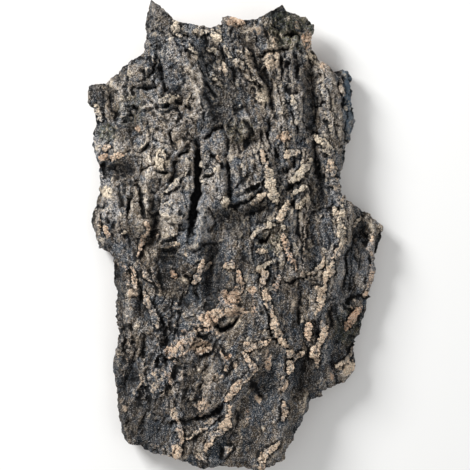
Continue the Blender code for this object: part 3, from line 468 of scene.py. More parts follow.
# Patches of bare or thinly crusted cork: middle, half width, half height, bare cork, warmth
CORK_PATCHES = (
    (178, 31, 9, 9, 0.55, 0.2), (199, 34, 6, 4, 0.7, 0.3), (217, 37, 7, 7, 0.7, 0.3),
    (213, 52, 5, 3, 0.8, 0.2), (229, 55, 3, 5, 0.7, 0.3), (223, 73, 3, 7, 0.6, 0.5),
    (213, 78, 5, 6, 0.6, 0.2), (236, 23, 9, 6, 0.8, 0.9), (255, 31, 5, 6, 0.7, 0.6),
    (266, 35, 4, 3, 0.7, 0.6), (295, 27, 5, 5, 0.6, 0.8), (307, 40, 6, 10, 0.6, 0.9),
    (311, 57, 5, 7, 0.7, 0.3), (275, 44, 4, 6, 0.7, 0.5), (271, 63, 9, 9, 0.5, 0.5),
    (299, 73, 3, 7, 0.6, 0.4), (289, 87, 7, 7, 0.35, 0.2), (263, 95, 7, 11, 0.65, 0.3),
    (246, 68, 8, 14, 0.3, 0.4), (283, 138, 7, 4, 0.9, 0.8), (162, 160, 8, 12, 0.85, 0.1),
    (106, 191, 6, 6, 0.8, 0.2), (105, 230, 3, 5, 0.7, 0.6), (226, 203, 4, 6, 0.9, 0.1),
    (186, 254, 2, 2, 0.8, 0.2), (174, 275, 4, 3, 0.7, 0.8), (228, 266, 5, 4, 0.6, 0.2),
    (133, 293, 5, 5, 0.6, 0.3), (251, 289, 5, 3, 0.9, 0.5), (235, 295, 5, 5, 0.9, 0.6),
    (234, 310, 11, 5, 0.85, 0.5), (217, 311, 5, 6, 0.7, 0.4), (206, 321, 7, 9, 0.8, 0.5),
    (196, 326, 4, 4, 0.8, 0.4), (186, 330, 4, 4, 0.8, 0.6), (176, 343, 8, 7, 0.7, 0.5),
    (214, 333, 7, 7, 0.3, 0.3), (200, 342, 10, 7, 0.7, 0.4), (155, 382, 10, 12, 0.5, 0.2),
    (140, 377, 5, 7, 0.4, 0.3), (202, 405, 7, 10, 0.35, 0.4), (218, 375, 6, 5, 0.6, 0.3),
    (227, 354, 3, 3, 0.9, 0.9), (224, 365, 3, 3, 0.7, 0.4), (234, 362, 3, 4, 0.7, 0.4),
    (174, 411, 4, 6, 0.6, 0.3), (176, 447, 4, 9, 0.6, 0.4), (122, 405, 5, 7, 0.5, 0.3),
    (347, 366, 9, 8, 0.6, 0.2), (332, 375, 3, 5, 0.5, 0.9), (258, 397, 4, 4, 0.8, 0.4),
    (248, 412, 4, 7, 0.5, 0.9), (262, 465, 4, 3, 0.8, 0.4), (326, 66, 6, 6, 0.45, 0.7),
    (137, 128, 2, 2, 0.9, 0.9), (276, 247, 3, 7, 0.9, 0.0), (253, 304, 3, 11, 0.6, 0.6),
    (267, 359, 3, 12, 0.65, 0.5), (103, 156, 5, 2, 0.8, 0.9), (212, 168, 7, 8, 0.4, 0.2),
)

# Plates of pale grey crust, fairly smooth: middle, half width, half height, paleness
PALE_PLATES = (
    (178, 215, 18, 25, 0.6), (152, 185, 12, 30, 0.45), (205, 212, 10, 32, 0.7), (115, 205, 15, 22, 0.6),
    (152, 110, 9, 10, 0.6), (200, 98, 9, 24, 0.5), (122, 110, 6, 25, 0.4), (247, 182, 15, 17, 0.5),
    (176, 122, 14, 8, 0.6), (165, 150, 12, 22, 0.5), (165, 40, 16, 24, 0.1), (110, 148, 14, 10, 0.5),
    (300, 172, 12, 10, 0.5), (290, 116, 16, 22, 0.35), (240, 120, 14, 8, 0.35), (218, 180, 11, 24, 0.6),
    (330, 100, 9, 26, 0.4), (186, 370, 20, 24, 0.25), (212, 384, 9, 20, 0.35), (302, 72, 10, 12, 0.6),
    (302, 118, 12, 16, 0.7), (182, 150, 10, 10, 0.8), (220, 182, 12, 16, 0.9), (202, 222, 12, 18, 1.0),
    (122, 208, 12, 12, 0.7), (362, 262, 10, 26, 0.7), (342, 288, 10, 26, 0.6), (302, 232, 10, 12, 0.5),
    (182, 388, 12, 12, 0.5), (322, 306, 12, 20, 0.4),
)

# Places where the bark is darkest, from dark crust and moss and from painted shade along the left rim:
# middle, half width, half height, darkness
DARK_AND_SHADED_PLACES = (
    (97, 90, 10, 9, 0.8), (285, 20, 20, 16, 0.85), (240, 42, 14, 9, 0.7), (212, 55, 12, 14, 0.7),
    (222, 100, 18, 26, 0.7), (240, 84, 12, 14, 0.5), (180, 98, 12, 9, 0.5), (130, 124, 10, 8, 0.6),
    (118, 170, 16, 9, 0.8), (242, 214, 30, 12, 0.9), (213, 272, 10, 34, 0.9), (168, 268, 14, 26, 0.8),
    (154, 230, 8, 20, 0.6), (310, 98, 8, 34, 0.6), (318, 190, 10, 26, 0.6), (306, 376, 14, 22, 0.7),
    (345, 340, 14, 20, 0.6), (146, 424, 24, 24, 0.7), (126, 374, 9, 22, 0.6), (262, 384, 14, 14, 0.5),
    (142, 306, 10, 14, 0.4), (190, 405, 9, 22, 0.5), (346, 296, 9, 14, 0.5), (362, 226, 9, 12, 0.5),
    (250, 262, 12, 12, 0.5), (290, 420, 12, 18, 0.4), (118, 285, 9, 26, 0.8), (116, 325, 8, 16, 0.7),
    (118, 395, 9, 34, 0.8), (124, 430, 10, 12, 0.9), (238, 230, 12, 9, 0.9), (142, 232, 10, 9, 0.7),
    (228, 282, 14, 16, 0.7), (118, 72, 10, 9, 0.8), (102, 92, 12, 10, 0.9), (122, 132, 10, 10, 0.8),
    (96, 190, 7, 12, 0.7), (240, 92, 10, 10, 0.7), (258, 36, 14, 12, 0.6), (230, 30, 12, 10, 0.6),
    (282, 88, 8, 8, 0.5), (182, 290, 10, 12, 0.5), (120, 366, 8, 12, 0.5), (157, 28, 12, 26, 0.65),
)

# Green film of moss, and bluish painted shade, mostly on the wall at the right edge that turns from the
# light: middle, half width, half height, strength
MOSS_PLACES = (
    (292, 28, 26, 22, 0.8), (106, 132, 9, 9, 0.8), (268, 240, 12, 10, 0.4), (348, 326, 14, 18, 0.5),
    (240, 132, 14, 12, 0.4), (130, 110, 14, 16, 0.3),
)
BLUE_SHADE_PLACES = (
    (351, 96, 9, 44, 1.0), (214, 334, 10, 8, 0.5), (196, 220, 14, 30, 0.3),
)


def lattice_random(column, row, draw):
    """A repeatable random number from 0 to 1 for each whole-numbered place and each numbered draw."""
    mixed = (column * 374761393 + row * 668265263 + (RANDOM_SEED + draw) * 974634777) & 0xFFFFFFFF
    mixed = ((mixed ^ (mixed >> 13)) * 1274126177) & 0xFFFFFFFF
    return ((mixed ^ (mixed >> 16)) & 0xFFFFFF) / 0xFFFFFF


def ease(t):
    """0 to 1 with level ends, for t from 0 to 1."""
    t = np.clip(t, 0, 1)
    return t * t * (3 - 2 * t)


def fade(place, start, end):
    """0 at the start and before it, 1 at the end and beyond it."""
    return ease((place - start) / (end - start))


def noise(x, y, width, height, draw):
    """Smooth noise from about -1 to 1, with swells about that wide and that high on the sheet."""
    x = x / width
    y = y / height
    column = np.floor(x).astype(np.int64)
    row = np.floor(y).astype(np.int64)
    total = np.zeros_like(x)
    for right in (0, 1):
        for down in (0, 1):
            angle = math.tau * lattice_random(column + right, row + down, draw)
            dx = x - column - right
            dy = y - row - down
            weight = ease(1 - abs(dx)) * ease(1 - abs(dy))
            total += weight * (np.cos(angle) * dx + np.sin(angle) * dy)
    return 1.5 * total


def plates(x, y, draw):
    """Cells round scattered points, about one unit apart.

    Gives how near its cell's edge each place is, the cell's random number, and the cell's slant there.
    """
    column = np.floor(x).astype(np.int64)
    row = np.floor(y).astype(np.int64)
    nearest = np.full_like(x, 9.0)
    second = np.full_like(x, 9.0)
    number = np.zeros_like(x)
    slant = np.zeros_like(x)
    for right in (-1, 0, 1):
        for down in (-1, 0, 1):
            home = (column + right, row + down)
            home_x = column + right + 0.5 + 0.8 * (lattice_random(*home, draw) - 0.5)
            home_y = row + down + 0.5 + 0.8 * (lattice_random(*home, draw + 1) - 0.5)
            distance = np.hypot(x - home_x, y - home_y)
            closer = distance < nearest
            second = np.where(closer, nearest, np.minimum(second, distance))
            number = np.where(closer, lattice_random(*home, draw + 2), number)
            turn = math.tau * lattice_random(*home, draw + 3)
            slant = np.where(closer, (x - home_x) * np.cos(turn) + (y - home_y) * np.sin(turn), slant)
            nearest = np.where(closer, distance, nearest)
    return second - nearest, number, slant


def distance_to_line(x, y, points, reach=FAR_AWAY):
    """Distance of each place from a line, the share of the line passed there, and the millimetres passed.

    Places beyond the reach count as far away.
    """
    best = np.full_like(x, FAR_AWAY)
    share = np.zeros_like(x)
    passed = np.zeros_like(x)
    corners = np.array(points, dtype=float)
    low = corners.min(axis=0) - reach
    high = corners.max(axis=0) + reach
    near = np.nonzero((x > low[0]) & (x < high[0]) & (y > low[1]) & (y < high[1]))[0]
    near_x = x[near]
    near_y = y[near]
    near_best = best[near]
    near_share = share[near]
    near_passed = passed[near]
    steps = len(points) - 1
    length = 0.0
    for step in range(steps):
        ax, ay = corners[step]
        dx, dy = corners[step + 1] - corners[step]
        run = math.hypot(dx, dy)
        t = np.clip(((near_x - ax) * dx + (near_y - ay) * dy) / (run * run), 0, 1)
        distance = np.hypot(near_x - ax - t * dx, near_y - ay - t * dy)
        closer = distance < near_best
        near_best = np.where(closer, distance, near_best)
        near_share = np.where(closer, (step + t) / steps, near_share)
        near_passed = np.where(closer, length + t * run, near_passed)
        length += run
    best[near] = near_best
    share[near] = near_share
    passed[near] = near_passed
    return best, share, passed


def outline_distance(x, y):
    """Distance of each place from the outline, through its corners."""
    distance, _, _ = distance_to_line(x, y, list(OUTLINE) + [OUTLINE[0]])
    return distance


def across_grain(x, y):
    """Place across the bark's grain, which leans right in the upper middle and left in the lower middle."""
    place = x
    for lean, middle_y, reach_y, middle_x, reach_x in LEANS:
        turned = np.tanh((y - middle_y) / reach_y)
        nearby = np.exp(-(((x - middle_x) / reach_x) ** 2))
        place = place - lean * reach_y * turned * nearby
    return place


def inner_height(x, y):
    """Height of the hollow inner face: part of the trunk's curve, faintly fluted, with three low spots."""
    left = np.interp(y, CURVE_HEIGHTS, CURVE_LEFT)
    right = np.interp(y, CURVE_HEIGHTS, CURVE_RIGHT)
    side = np.clip((2 * x - left - right) / (right - left), -1, 1)
    height = ARCH_RISE * MM * (1 - abs(side) ** 2.1) + UNDERSIDE_CLEARANCE * MM
    flutes = 1.0 * noise(x, y, 19, 120, 40) + 1.6 * noise(x, y, 60, 110, 41)
    height = np.maximum(height + 1.2 + flutes, UNDERSIDE_CLEARANCE * MM)
    for foot_x, foot_y in FEET:
        away = np.hypot(x - foot_x, 0.7 * (y - foot_y)) / (FOOT_RADIUS * MM)
        height = height - (height + 2.5) * ease(1.3 * (1 - away))
    return np.maximum(height, 0)


def spots(x, y, places):
    """The strongest of several soft oval spots at each place, with ragged edges."""
    x = x + 1.8 * noise(x, y, 5, 5, 60)
    y = y + 1.8 * noise(x, y, 5, 5, 61)
    strongest = np.zeros_like(x)
    for middle_x, middle_y, half_width, half_height, strength in places:
        away = np.hypot((x - middle_x) / half_width, (y - middle_y) / half_height)
        strongest = np.maximum(strongest, strength * ease(2.2 * (1.25 - away)))
    return strongest


def cork_blocks(x, y):
    """The angular blocks that cork crumbles into: nearness to a block's edge, its number, and its slant."""
    straight_x = across_grain(x + 0.35 * noise(x, y, 2.2, 2.2, 87), y)
    straight_y = y + 0.35 * noise(x, y, 2.2, 2.2, 88)
    return plates(straight_x / BLOCK_WIDTH, straight_y / BLOCK_HEIGHT, 72)


def broad_relief(x, y, wander_x, wander_y):
    """Height of the swells, hollows, plates, ridges and ledges, and the number of each place's plate."""
    relief = 2.0 * noise(x, y, 55, 90, 4)
    for height, half_width, *points in SWELLS:
        reach = 1.35 * half_width
        distance, _, _ = distance_to_line(wander_x, wander_y, points, reach)
        relief += SWELL_GAIN * height * ease(1 - distance / reach)
    across = across_grain(wander_x, wander_y)
    valleys = fade(y, 215, 275) * (0.45 + 0.55 * fade(x, 185, 215))
    plated = 1 - 0.8 * valleys
    planks = 1 - 0.8 * fade(y, 230, 110) * fade(x, 190, 250)

    # Plates with slanting faces and sunk edges, broad ones and then smaller ones
    edge, chunk, slant = plates(across / 12, wander_y / 30, 5)
    relief += plated * (1.8 * (chunk - 0.5) + 2.4 * slant - 1.2 * planks * (1 - ease(edge / 0.18)))
    edge, number, slant = plates(across / 7.5 + 40, wander_y / 13, 8)
    relief += plated * (0.5 * (number - 0.5) + 0.8 * slant - 0.3 * (1 - ease(edge / 0.30)))

    # Lumps at the upper right, ridges along the grain, and long furrows lower down
    relief += 1.6 * (1 - planks) * noise(wander_x, wander_y, 18, 28, 14)
    ridges = 1 - 2.4 * abs(noise(across, wander_y, 19, 42, 15))
    relief += 1.4 * (1 - 0.6 * valleys) * np.clip(ridges, -0.6, 1)
    relief += 1.2 * valleys * noise(across, wander_y, 11, 60, 18)

    # Ledges that rise slowly and drop off sharply
    ledge = 1.8 * noise(across, wander_y, 26, 52, 21) + 0.3 * noise(x, y, 12, 20, 22)
    ledge = ledge - np.floor(ledge)
    relief += 3.2 * (1 - 0.5 * valleys) * (ledge - 0.5 - ease((ledge - 0.90) / 0.10))
    return relief, chunk


def add_crests(relief, x, y, wander_x, wander_y):
    """Raises the corky crests on the relief, and gives what shows on them and round them."""
    crest = np.zeros_like(x)
    cork = np.zeros_like(x)
    warmth = np.zeros_like(x)
    joint = np.zeros_like(x)
    moat = np.zeros_like(x)
    # A crest is broken into blocks; where it starts and ends picks each block's random width and height
    swelling = 1 + 0.35 * noise(x, y, 10, 10, 19)
    stature = np.clip(1 + 0.9 * noise(x, y, 13, 13, 20), 0.3, 1.5)
    for height, half_width, bare, warm, *points in CRESTS:
        distance, share, passed = distance_to_line(wander_x, wander_y, points, 2.4 * half_width)
        broken = passed / CREST_BLOCK + 0.6 * noise(x, y, 5, 5, 62)
        block = np.round(broken).astype(np.int64)
        narrow = swelling * (0.78 + 0.60 * lattice_random(block, points[0][0], 25))
        tall = 0.55 + 0.9 * lattice_random(block, points[0][1], 26)
        narrow = narrow / (0.45 + 0.55 * ease(4 * share) * ease(4 * (1 - share)))
        flank = np.clip(2.6 * (1 - distance * narrow / (1.08 * half_width)), 0, 1)
        relief += CREST_GAIN * height * stature * tall * ease(flank)
        crest = np.maximum(crest, flank * (0.2 + 0.8 * bare))
        ring = 1 - abs(distance * narrow / half_width - 1.25) / 0.45
        moat = np.maximum(moat, ease(ring) * min(1, 0.3 + bare))
        shown = 0.50 + 0.62 * lattice_random(block, points[-1][0], 27)
        showing = np.clip(bare * shown, 0, 1) * ease(2.0 * (flank - 0.3))
        warmth = np.where(showing > cork, warm, warmth)
        cork = np.maximum(cork, showing)
        gap = 1 - ease(abs(broken - np.round(broken)) / 0.14)
        joint = np.maximum(joint, gap * ease(flank))
    return {"crest": crest, "cork": cork, "warmth": warmth, "joint": joint, "moat": moat}


def add_splits(relief, wander_x, wander_y):
    """Cuts the splits into the relief, and gives how deep in one each place is and where a thin one runs."""
    split = np.zeros_like(relief)
    cut = np.zeros_like(relief)
    for depth, half_width, *points in SPLITS:
        reach = 1.2 * half_width
        distance, share, _ = distance_to_line(wander_x, wander_y, points, reach)
        taper = 0.35 + 0.65 * ease(5 * share) * ease(5 * (1 - share))
        bite = np.clip(1 - distance / reach, 0, 1)
        sharp = min(1, (depth / 13) ** 3)
        bite = (1 - sharp) * bite + sharp * ease(1.8 * bite)
        relief -= SPLIT_GAIN * depth * taper * bite
        split = np.maximum(split, taper * bite * sharp)
        if half_width < THIN_SPLIT:
            cut = np.maximum(cut, taper * ease((bite - 0.45) / 0.4))
    return {"split": split, "cut": cut}


def bark_relief(x, y):
    """Height of the rough outer face above its smooth middle surface, with what shows at each place.

    The second value is a dict of numbers from 0 to 1: crest is how far up a crest's flank a place lies,
    cork how much bare cork shows, warmth how warm its colour is, joint where a crest is broken across, moat
    where the groove round a crest runs, whose dark ring is painted shadow, split how deep in a split the
    place is, cut where a thin split runs, and chunk the random number of the place's plate.
    """
    wander_x = x + 2.2 * noise(x, y, 14, 14, 0) + 1.0 * noise(x, y, 6, 6, 1)
    wander_y = y + 2.2 * noise(x, y, 14, 14, 2) + 1.0 * noise(x, y, 6, 6, 3)
    relief, chunk = broad_relief(x, y, wander_x, wander_y)
    _, number, _ = cork_blocks(x, y)
    wander_x = wander_x + 0.5 * noise(x, y, 3.3, 3.3, 16) + 1.6 * (number - 0.5)
    wander_y = wander_y + 0.5 * noise(x, y, 3.3, 3.3, 17) + 1.6 * ((7.3 * number) % 1 - 0.5)
    looks = add_crests(relief, x, y, wander_x, wander_y)
    looks.update(add_splits(relief, wander_x, wander_y))
    looks["chunk"] = chunk
    looks["moat"] = looks["moat"] * (1 - looks["crest"])
    relief -= looks["moat"]
    # Only the ring's painted shadow is broken up here; the groove cut above stays whole
    looks["moat"] = looks["moat"] * ease(0.7 + 1.2 * noise(x, y, 9, 9, 24))
    limit = np.where(relief > 0, HIGHEST_RELIEF, DEEPEST_RELIEF) * MM
    return limit * np.tanh(relief / limit), looks


def outer_height(x, y):
    """Height of the rough outer face, which rounds over towards the torn rim, and what shows there."""
    rounding = RIM_ROUNDING * MM * (1 + 0.6 * noise(x, y, 21, 21, 12))
    rim = ease(outline_distance(x, y) / rounding)
    drop = RIM_DROP * MM * (1 + 0.9 * noise(x, y, 17, 17, 13))
    inner = inner_height(x, y)
    relief, looks = bark_relief(x, y)
    rough = inner + BARK_THICKNESS * MM - drop * (1 - rim) + relief * (0.55 + 0.45 * rim)
    for foot_x, foot_y in FEET:
        away = np.hypot(x - foot_x, y - foot_y) / (1.5 * FOOT_RADIUS * MM)
        rough += 3.5 * ease(1.2 * (1 - away))
    looks["relief"] = relief
    return np.maximum(rough, inner + THINNEST * MM), looks


def surface_looks(x, y, looks):
    """Adds to the looks what the coarse form lacks: patches, plates, dark places, moss and roughness."""
    ragged_x = x + 1.6 * noise(x, y, 4, 4, 63)
    ragged_y = y + 1.6 * noise(x, y, 4, 4, 64)
    for middle_x, middle_y, half_width, half_height, bare, warm in CORK_PATCHES:
        away = np.hypot((ragged_x - middle_x) / half_width, (ragged_y - middle_y) / half_height)
        showing = min(1, 1.25 * bare) * ease(3.0 * (1.2 - away))
        looks["warmth"] = np.where(showing > looks["cork"], warm, looks["warmth"])
        looks["cork"] = np.maximum(looks["cork"], showing)
    looks["warmth"] = np.clip(looks["warmth"] + 0.3 * fade(y, 190, 280) - 0.2, 0, 1)
    looks["pale"] = spots(x, y, PALE_PLATES)
    # Dark places: dark crust and moss, and painted shade along the left rim
    looks["dark"] = spots(x, y, DARK_AND_SHADED_PLACES)
    looks["moss"] = spots(x, y, MOSS_PLACES)
    # Bluish painted shade, mostly on the right edge's wall
    looks["blue"] = spots(x, y, BLUE_SHADE_PLACES)
    raised = ease((looks["relief"] - 1.0) / 5.0)
    upper_half = fade(y, 275, 215)
    crumbly = ease(0.2 + 1.6 * noise(x, y, 22, 28, 84)) * upper_half
    rough = 0.12 + 0.18 * raised + 0.65 * np.maximum(looks["crest"], looks["cork"]) + 0.20 * crumbly
    rough += 0.40 * looks["dark"] * upper_half - 0.15 * looks["pale"]
    looks["pale"] = np.maximum(looks["pale"], 0.15 * fade(y, 260, 200))
    looks["rough"] = np.clip(rough, 0.10, 1.10)


def fine_relief(x, y, looks):
    """Fine form in millimetres along the surface's own direction: crumbled blocks, flakes and grain.

    Adds to the looks the random number of each place's block, and where a dark crack or painted shadow runs.
    """
    wander_x = x + 0.8 * noise(x, y, 2.9, 2.9, 70)
    wander_y = y + 0.8 * noise(x, y, 2.9, 2.9, 71)
    across = across_grain(wander_x, wander_y)
    rough = looks["rough"]

    edge, number, slant = cork_blocks(x, y)
    looks["block"] = number
    crumbled = np.maximum(looks["cork"], np.maximum(looks["crest"], 0.8 * looks["dark"]))
    broken = ease(0.45 + 1.6 * noise(x, y, 8, 8, 89))
    crack = broken * (1 - ease(edge / 0.12)) * ease((crumbled - 0.1) / 0.4)
    blocks = 1.2 * (number - 0.5) + 1.6 * slant
    edge, number, slant = plates(across / 2.9, wander_y / 3.3, 76)
    crumbs = 0.25 * (number - 0.5) + 0.5 * slant - 0.20 * (1 - broken) * (1 - ease(edge / 0.22))
    _, number, slant = plates(across / 8.5 + 20, wander_y / 13, 92)
    facets = 1.3 * (number - 0.5) + 2.0 * slant
    shingle = 2.0 * noise(across, wander_y, 17, 36, 82) + 0.4 * noise(x, y, 7, 12, 83)
    shingle = shingle - np.floor(shingle)
    flakes = 1.7 * (shingle - 0.5 - ease((shingle - 0.90) / 0.10))
    grit = 0.30 * noise(x, y, 2.3, 2.3, 78)
    fibres = 0.38 * noise(across, wander_y, 2.2, 15, 80)
    strands = 0.55 * np.clip(1 - 3 * abs(noise(across, wander_y, 6.5, 44, 81)), 0, 1)
    lumps = 0.8 * noise(x, y, 8, 14, 85)
    heaped = 0.10 + 0.90 * np.maximum(0.35 * crumbled, 0.8 * looks["dark"] * (1 - looks["crest"]))
    fine = heaped * (blocks + crumbs) + (0.3 + 0.7 * rough) * grit
    streaks = (1 - 0.5 * fade(y, 215, 275)) * (fibres + strands)
    fine += (1.1 - 0.8 * crumbled) * (streaks + 0.9 * flakes + 0.3 * facets + 0.3 * lumps)
    fine -= 1.2 * looks["joint"] * (0.4 + 0.6 * looks["cork"]) + 1.1 * crack
    crack = np.maximum(crack, 0.9 * looks["joint"])
    # The crack look takes in the ring round each crest, darkened as painted shadow
    looks["crack"] = np.maximum(crack, np.maximum(0.75 * looks["moat"], looks["cut"]))
    return fine


def rim_inward(rim):
    """Unit directions that point from the rim towards the bark's inside."""
    along = np.roll(rim, -2, axis=0) - np.roll(rim, 2, axis=0)
    inward = np.stack([-along[:, 1], along[:, 0]], axis=1)
    return inward / np.maximum(np.linalg.norm(inward, axis=1), 1e-6)[:, None]


def torn_rim(spacing):
    """The outline walked in even steps, with its stretches between corners broken up."""
    corners = np.array(OUTLINE, dtype=float)
    rim = []
    for here, there in zip(corners, np.roll(corners, -1, axis=0)):
        steps = max(1, round(math.dist(here, there) / spacing))
        for step in range(steps):
            rim.append(here + (there - here) * step / steps)
    rim = np.array(rim)
    inward = rim_inward(rim)
    ragged = 1.0 * noise(rim[:, 0], rim[:, 1], 4.3, 4.3, 20)
    ragged += 0.7 * noise(rim[:, 0], rim[:, 1], 2.3, 2.3, 21)
    return rim + inward * (0.4 + ragged)[:, None]


def inside_rim(x, y, rim):
    """True for places inside the rim, by counting how often a line to the right crosses it."""
    inside = np.zeros(x.shape, dtype=bool)
    order = np.argsort(y)
    sorted_y = y[order]
    for (ax, ay), (bx, by) in zip(rim, np.roll(rim, -1, axis=0)):
        if ay == by:
            continue
        first = np.searchsorted(sorted_y, min(ay, by), "left")
        last = np.searchsorted(sorted_y, max(ay, by), "left")
        band = order[first:last]
        inside[band] ^= x[band] < ax + (bx - ax) * (y[band] - ay) / (by - ay)
    return inside


def clear_of_rim(x, y, rim, margin):
    """True for places farther from the rim's own places than the margin."""
    clear = np.ones(x.shape, dtype=bool)
    close = np.nonzero(outline_distance(x, y) < margin + RIM_WANDER)[0]
    for start in range(0, len(rim), RIM_BATCH):
        part = rim[start:start + RIM_BATCH]
        away = np.hypot(x[close][:, None] - part[None, :, 0], y[close][:, None] - part[None, :, 1])
        clear[close] &= away.min(axis=1) > margin
    return clear


def field_points(rim, spacing, margin):
    """Staggered rows of places inside the rim, no nearer to it than the margin."""
    columns = int(BARK_WIDTH * MM / spacing) + 4
    rows = int(BARK_LENGTH * MM / (spacing * ROW_SHARE)) + 4
    column, row = np.meshgrid(np.arange(columns), np.arange(rows))
    low = rim.min(axis=0) - spacing
    x = low[0] + spacing * (column + 0.5 * (row % 2)).ravel()
    y = low[1] + spacing * ROW_SHARE * row.ravel()
    shift = 0.22 * spacing
    x = x + shift * noise(x / spacing * 0.7, y / spacing * 0.7, 1, 1, 30)
    y = y + shift * noise(x / spacing * 0.7, y / spacing * 0.7, 1, 1, 31)
    keep = inside_rim(x, y, rim)
    x = x[keep]
    y = y[keep]
    clear = clear_of_rim(x, y, rim, margin)
    return np.stack([x[clear], y[clear]], axis=1)


def triangulated(rim, field):
    """Triangles of the sheet inside the rim, as rows of three numbers. The rim's own places come first."""
    sheet = np.concatenate([rim, field])
    around = len(rim)
    rim_edges = [(k, (k + 1) % around) for k in range(around)]
    points = [tuple(place) for place in sheet]
    found, _, faces, origins, _, _ = delaunay_2d_cdt(points, rim_edges, [], 0, 1e-5, True)
    if len(found) != len(sheet):
        raise ValueError("places of the sheet fall on one another")
    source = np.array([origin[0] for origin in origins])
    triangles = source[np.array(faces)]
    middles = sheet[triangles].mean(axis=1)
    inside = inside_rim(middles[:, 0], middles[:, 1], rim)
    return triangles[inside]


def directions(places, triangles):
    """Unit direction of the surface at each place, turned to point up on average."""
    a = places[triangles[:, 0]]
    b = places[triangles[:, 1]]
    c = places[triangles[:, 2]]
    face = np.cross(b - a, c - a)
    total = np.zeros_like(places)
    for corner in range(3):
        for axis in range(3):
            total[:, axis] += np.bincount(triangles[:, corner], face[:, axis], len(places))
    total *= np.sign(total[:, 2].sum())
    return total / np.maximum(np.linalg.norm(total, axis=1), 1e-9)[:, None]


def neighbour_pairs(triangles):
    """Each pair of neighbouring places once."""
    pairs = np.concatenate([triangles[:, [0, 1]], triangles[:, [1, 2]], triangles[:, [2, 0]]])
    return np.unique(np.sort(pairs, axis=1), axis=0)


def smoothed(places, pairs, rounds):
    """The places after each is moved, again and again, to the middle of its neighbours."""
    here = np.concatenate([pairs[:, 0], pairs[:, 1]])
    there = np.concatenate([pairs[:, 1], pairs[:, 0]])
    count = np.maximum(np.bincount(here, minlength=len(places)), 1)
    result = places.copy()
    for _ in range(rounds):
        columns = [np.bincount(here, result[there, axis], len(places)) / count for axis in range(3)]
        result = np.stack(columns, axis=1)
    return result


def hollowness(places, triangles, rounds, depth):
    """Where each place lies: 0 that depth above the smoothed surface, 1 that depth below it."""
    level = smoothed(places, neighbour_pairs(triangles), rounds)
    sunk = ((level - places) * directions(places, triangles)).sum(axis=1)
    return 0.5 + 0.5 * np.clip(sunk / depth, -1, 1)


def craggy(places):
    """True on crests and at splits, where the mesh is finer."""
    _, looks = bark_relief(places[:, 0], places[:, 1])
    return (looks["crest"] > CRAGGY_CREST) | (looks["split"] > CRAGGY_SPLIT)


def outer_face(rim):
    """Places, triangles and looks of the rough outer face. The rim's places come first."""
    margin = TOP_MARGIN * TOP_SPACING * MM
    crags = field_points(rim, CRAG_SPACING * MM, margin)
    plain = field_points(rim, TOP_SPACING * MM, margin)
    field = np.concatenate([crags[craggy(crags)], plain[~craggy(plain)]])
    sheet = np.concatenate([rim, field])
    x = sheet[:, 0]
    y = sheet[:, 1]
    z, looks = outer_height(x, y)
    surface_looks(x, y, looks)
    triangles = triangulated(rim, field)
    places = np.stack([x, y, z], axis=1)
    up = directions(places, triangles)
    fine = fine_relief(x, y, looks)
    crest = looks["crest"]
    overhang = OVERHANG * np.sin(2 * math.pi * (crest - 0.5)) * (crest > 0) * (crest < 1)
    overhang = overhang * ease(np.hypot(up[:, 0], up[:, 1]) / 0.6)
    places = places + up * fine[:, None]
    places[:, :2] += up[:, :2] * overhang[:, None]
    # How sunk each place is, near and over a broad reach; the outer material paints shade into sunk places
    looks["pit"] = hollowness(places, triangles, PIT_ROUNDS, PIT_DEPTH)
    looks["hollow"] = hollowness(places, triangles, HOLLOW_ROUNDS, HOLLOW_DEPTH)
    return places, triangles, looks


def inner_face(low_rim):
    """Places and triangles of the hollow inner face. The rim's places come first."""
    margin = UNDERSIDE_MARGIN * UNDERSIDE_SPACING * MM
    field = field_points(low_rim, UNDERSIDE_SPACING * MM, margin)
    sheet = np.concatenate([low_rim, field])
    x = sheet[:, 0]
    y = sheet[:, 1]
    z = inner_height(x, y)
    lifted = ease(z / 2.0)
    z = z + lifted * (0.5 * noise(x, y, 3.4, 40, 90) + 0.35 * noise(x, y, 8, 16, 91))
    return np.stack([x, y, z], axis=1), triangulated(low_rim, field)


def torn_wall(top, low, inward):
    """Rings of places between the top rim and the low rim, broken in layers as torn cork is."""
    x = top[:, 0]
    y = top[:, 1]
    rings = []
    for ring in range(1, RIM_RINGS):
        share = ring / RIM_RINGS
        place = top + (low - top) * share
        broad = 1.2 * noise(x, y, 8, 8, 50) * (1 - share)
        broad += 1.2 * noise(x, y, 8, 8, 51) * share
        layer = np.floor(place[:, 2] / LAYER_HEIGHT + 0.5 * noise(x, y, 15, 15, 53))
        shelf = 0.9 * noise(x / 5 + 7.3 * layer, y / 5, 1, 1, 54)
        grit = 0.5 * noise(x / 1.8 + 3.1 * ring, y / 1.8, 1, 1, 55)
        bulge = (broad + shelf + grit) * math.sin(math.pi * min(share * 1.3, 1 - share * 0.25))
        place[:, :2] += inward * bulge[:, None]
        place[:, 2] += 0.5 * noise(x / 2.5 + 5.7 * ring, y / 2.5, 1, 1, 56) * (1 - share)
        rings.append(place)
    return rings


def wall_between(ring_starts, around):
    """Triangles of the wall from each ring of places to the next."""
    here = np.arange(around)
    after = (here + 1) % around
    triangles = []
    for upper, lower in zip(ring_starts, ring_starts[1:]):
        triangles.append(np.stack([upper + here, upper + after, lower + after], axis=1))
        triangles.append(np.stack([upper + here, lower + after, lower + here], axis=1))
    return np.concatenate(triangles)


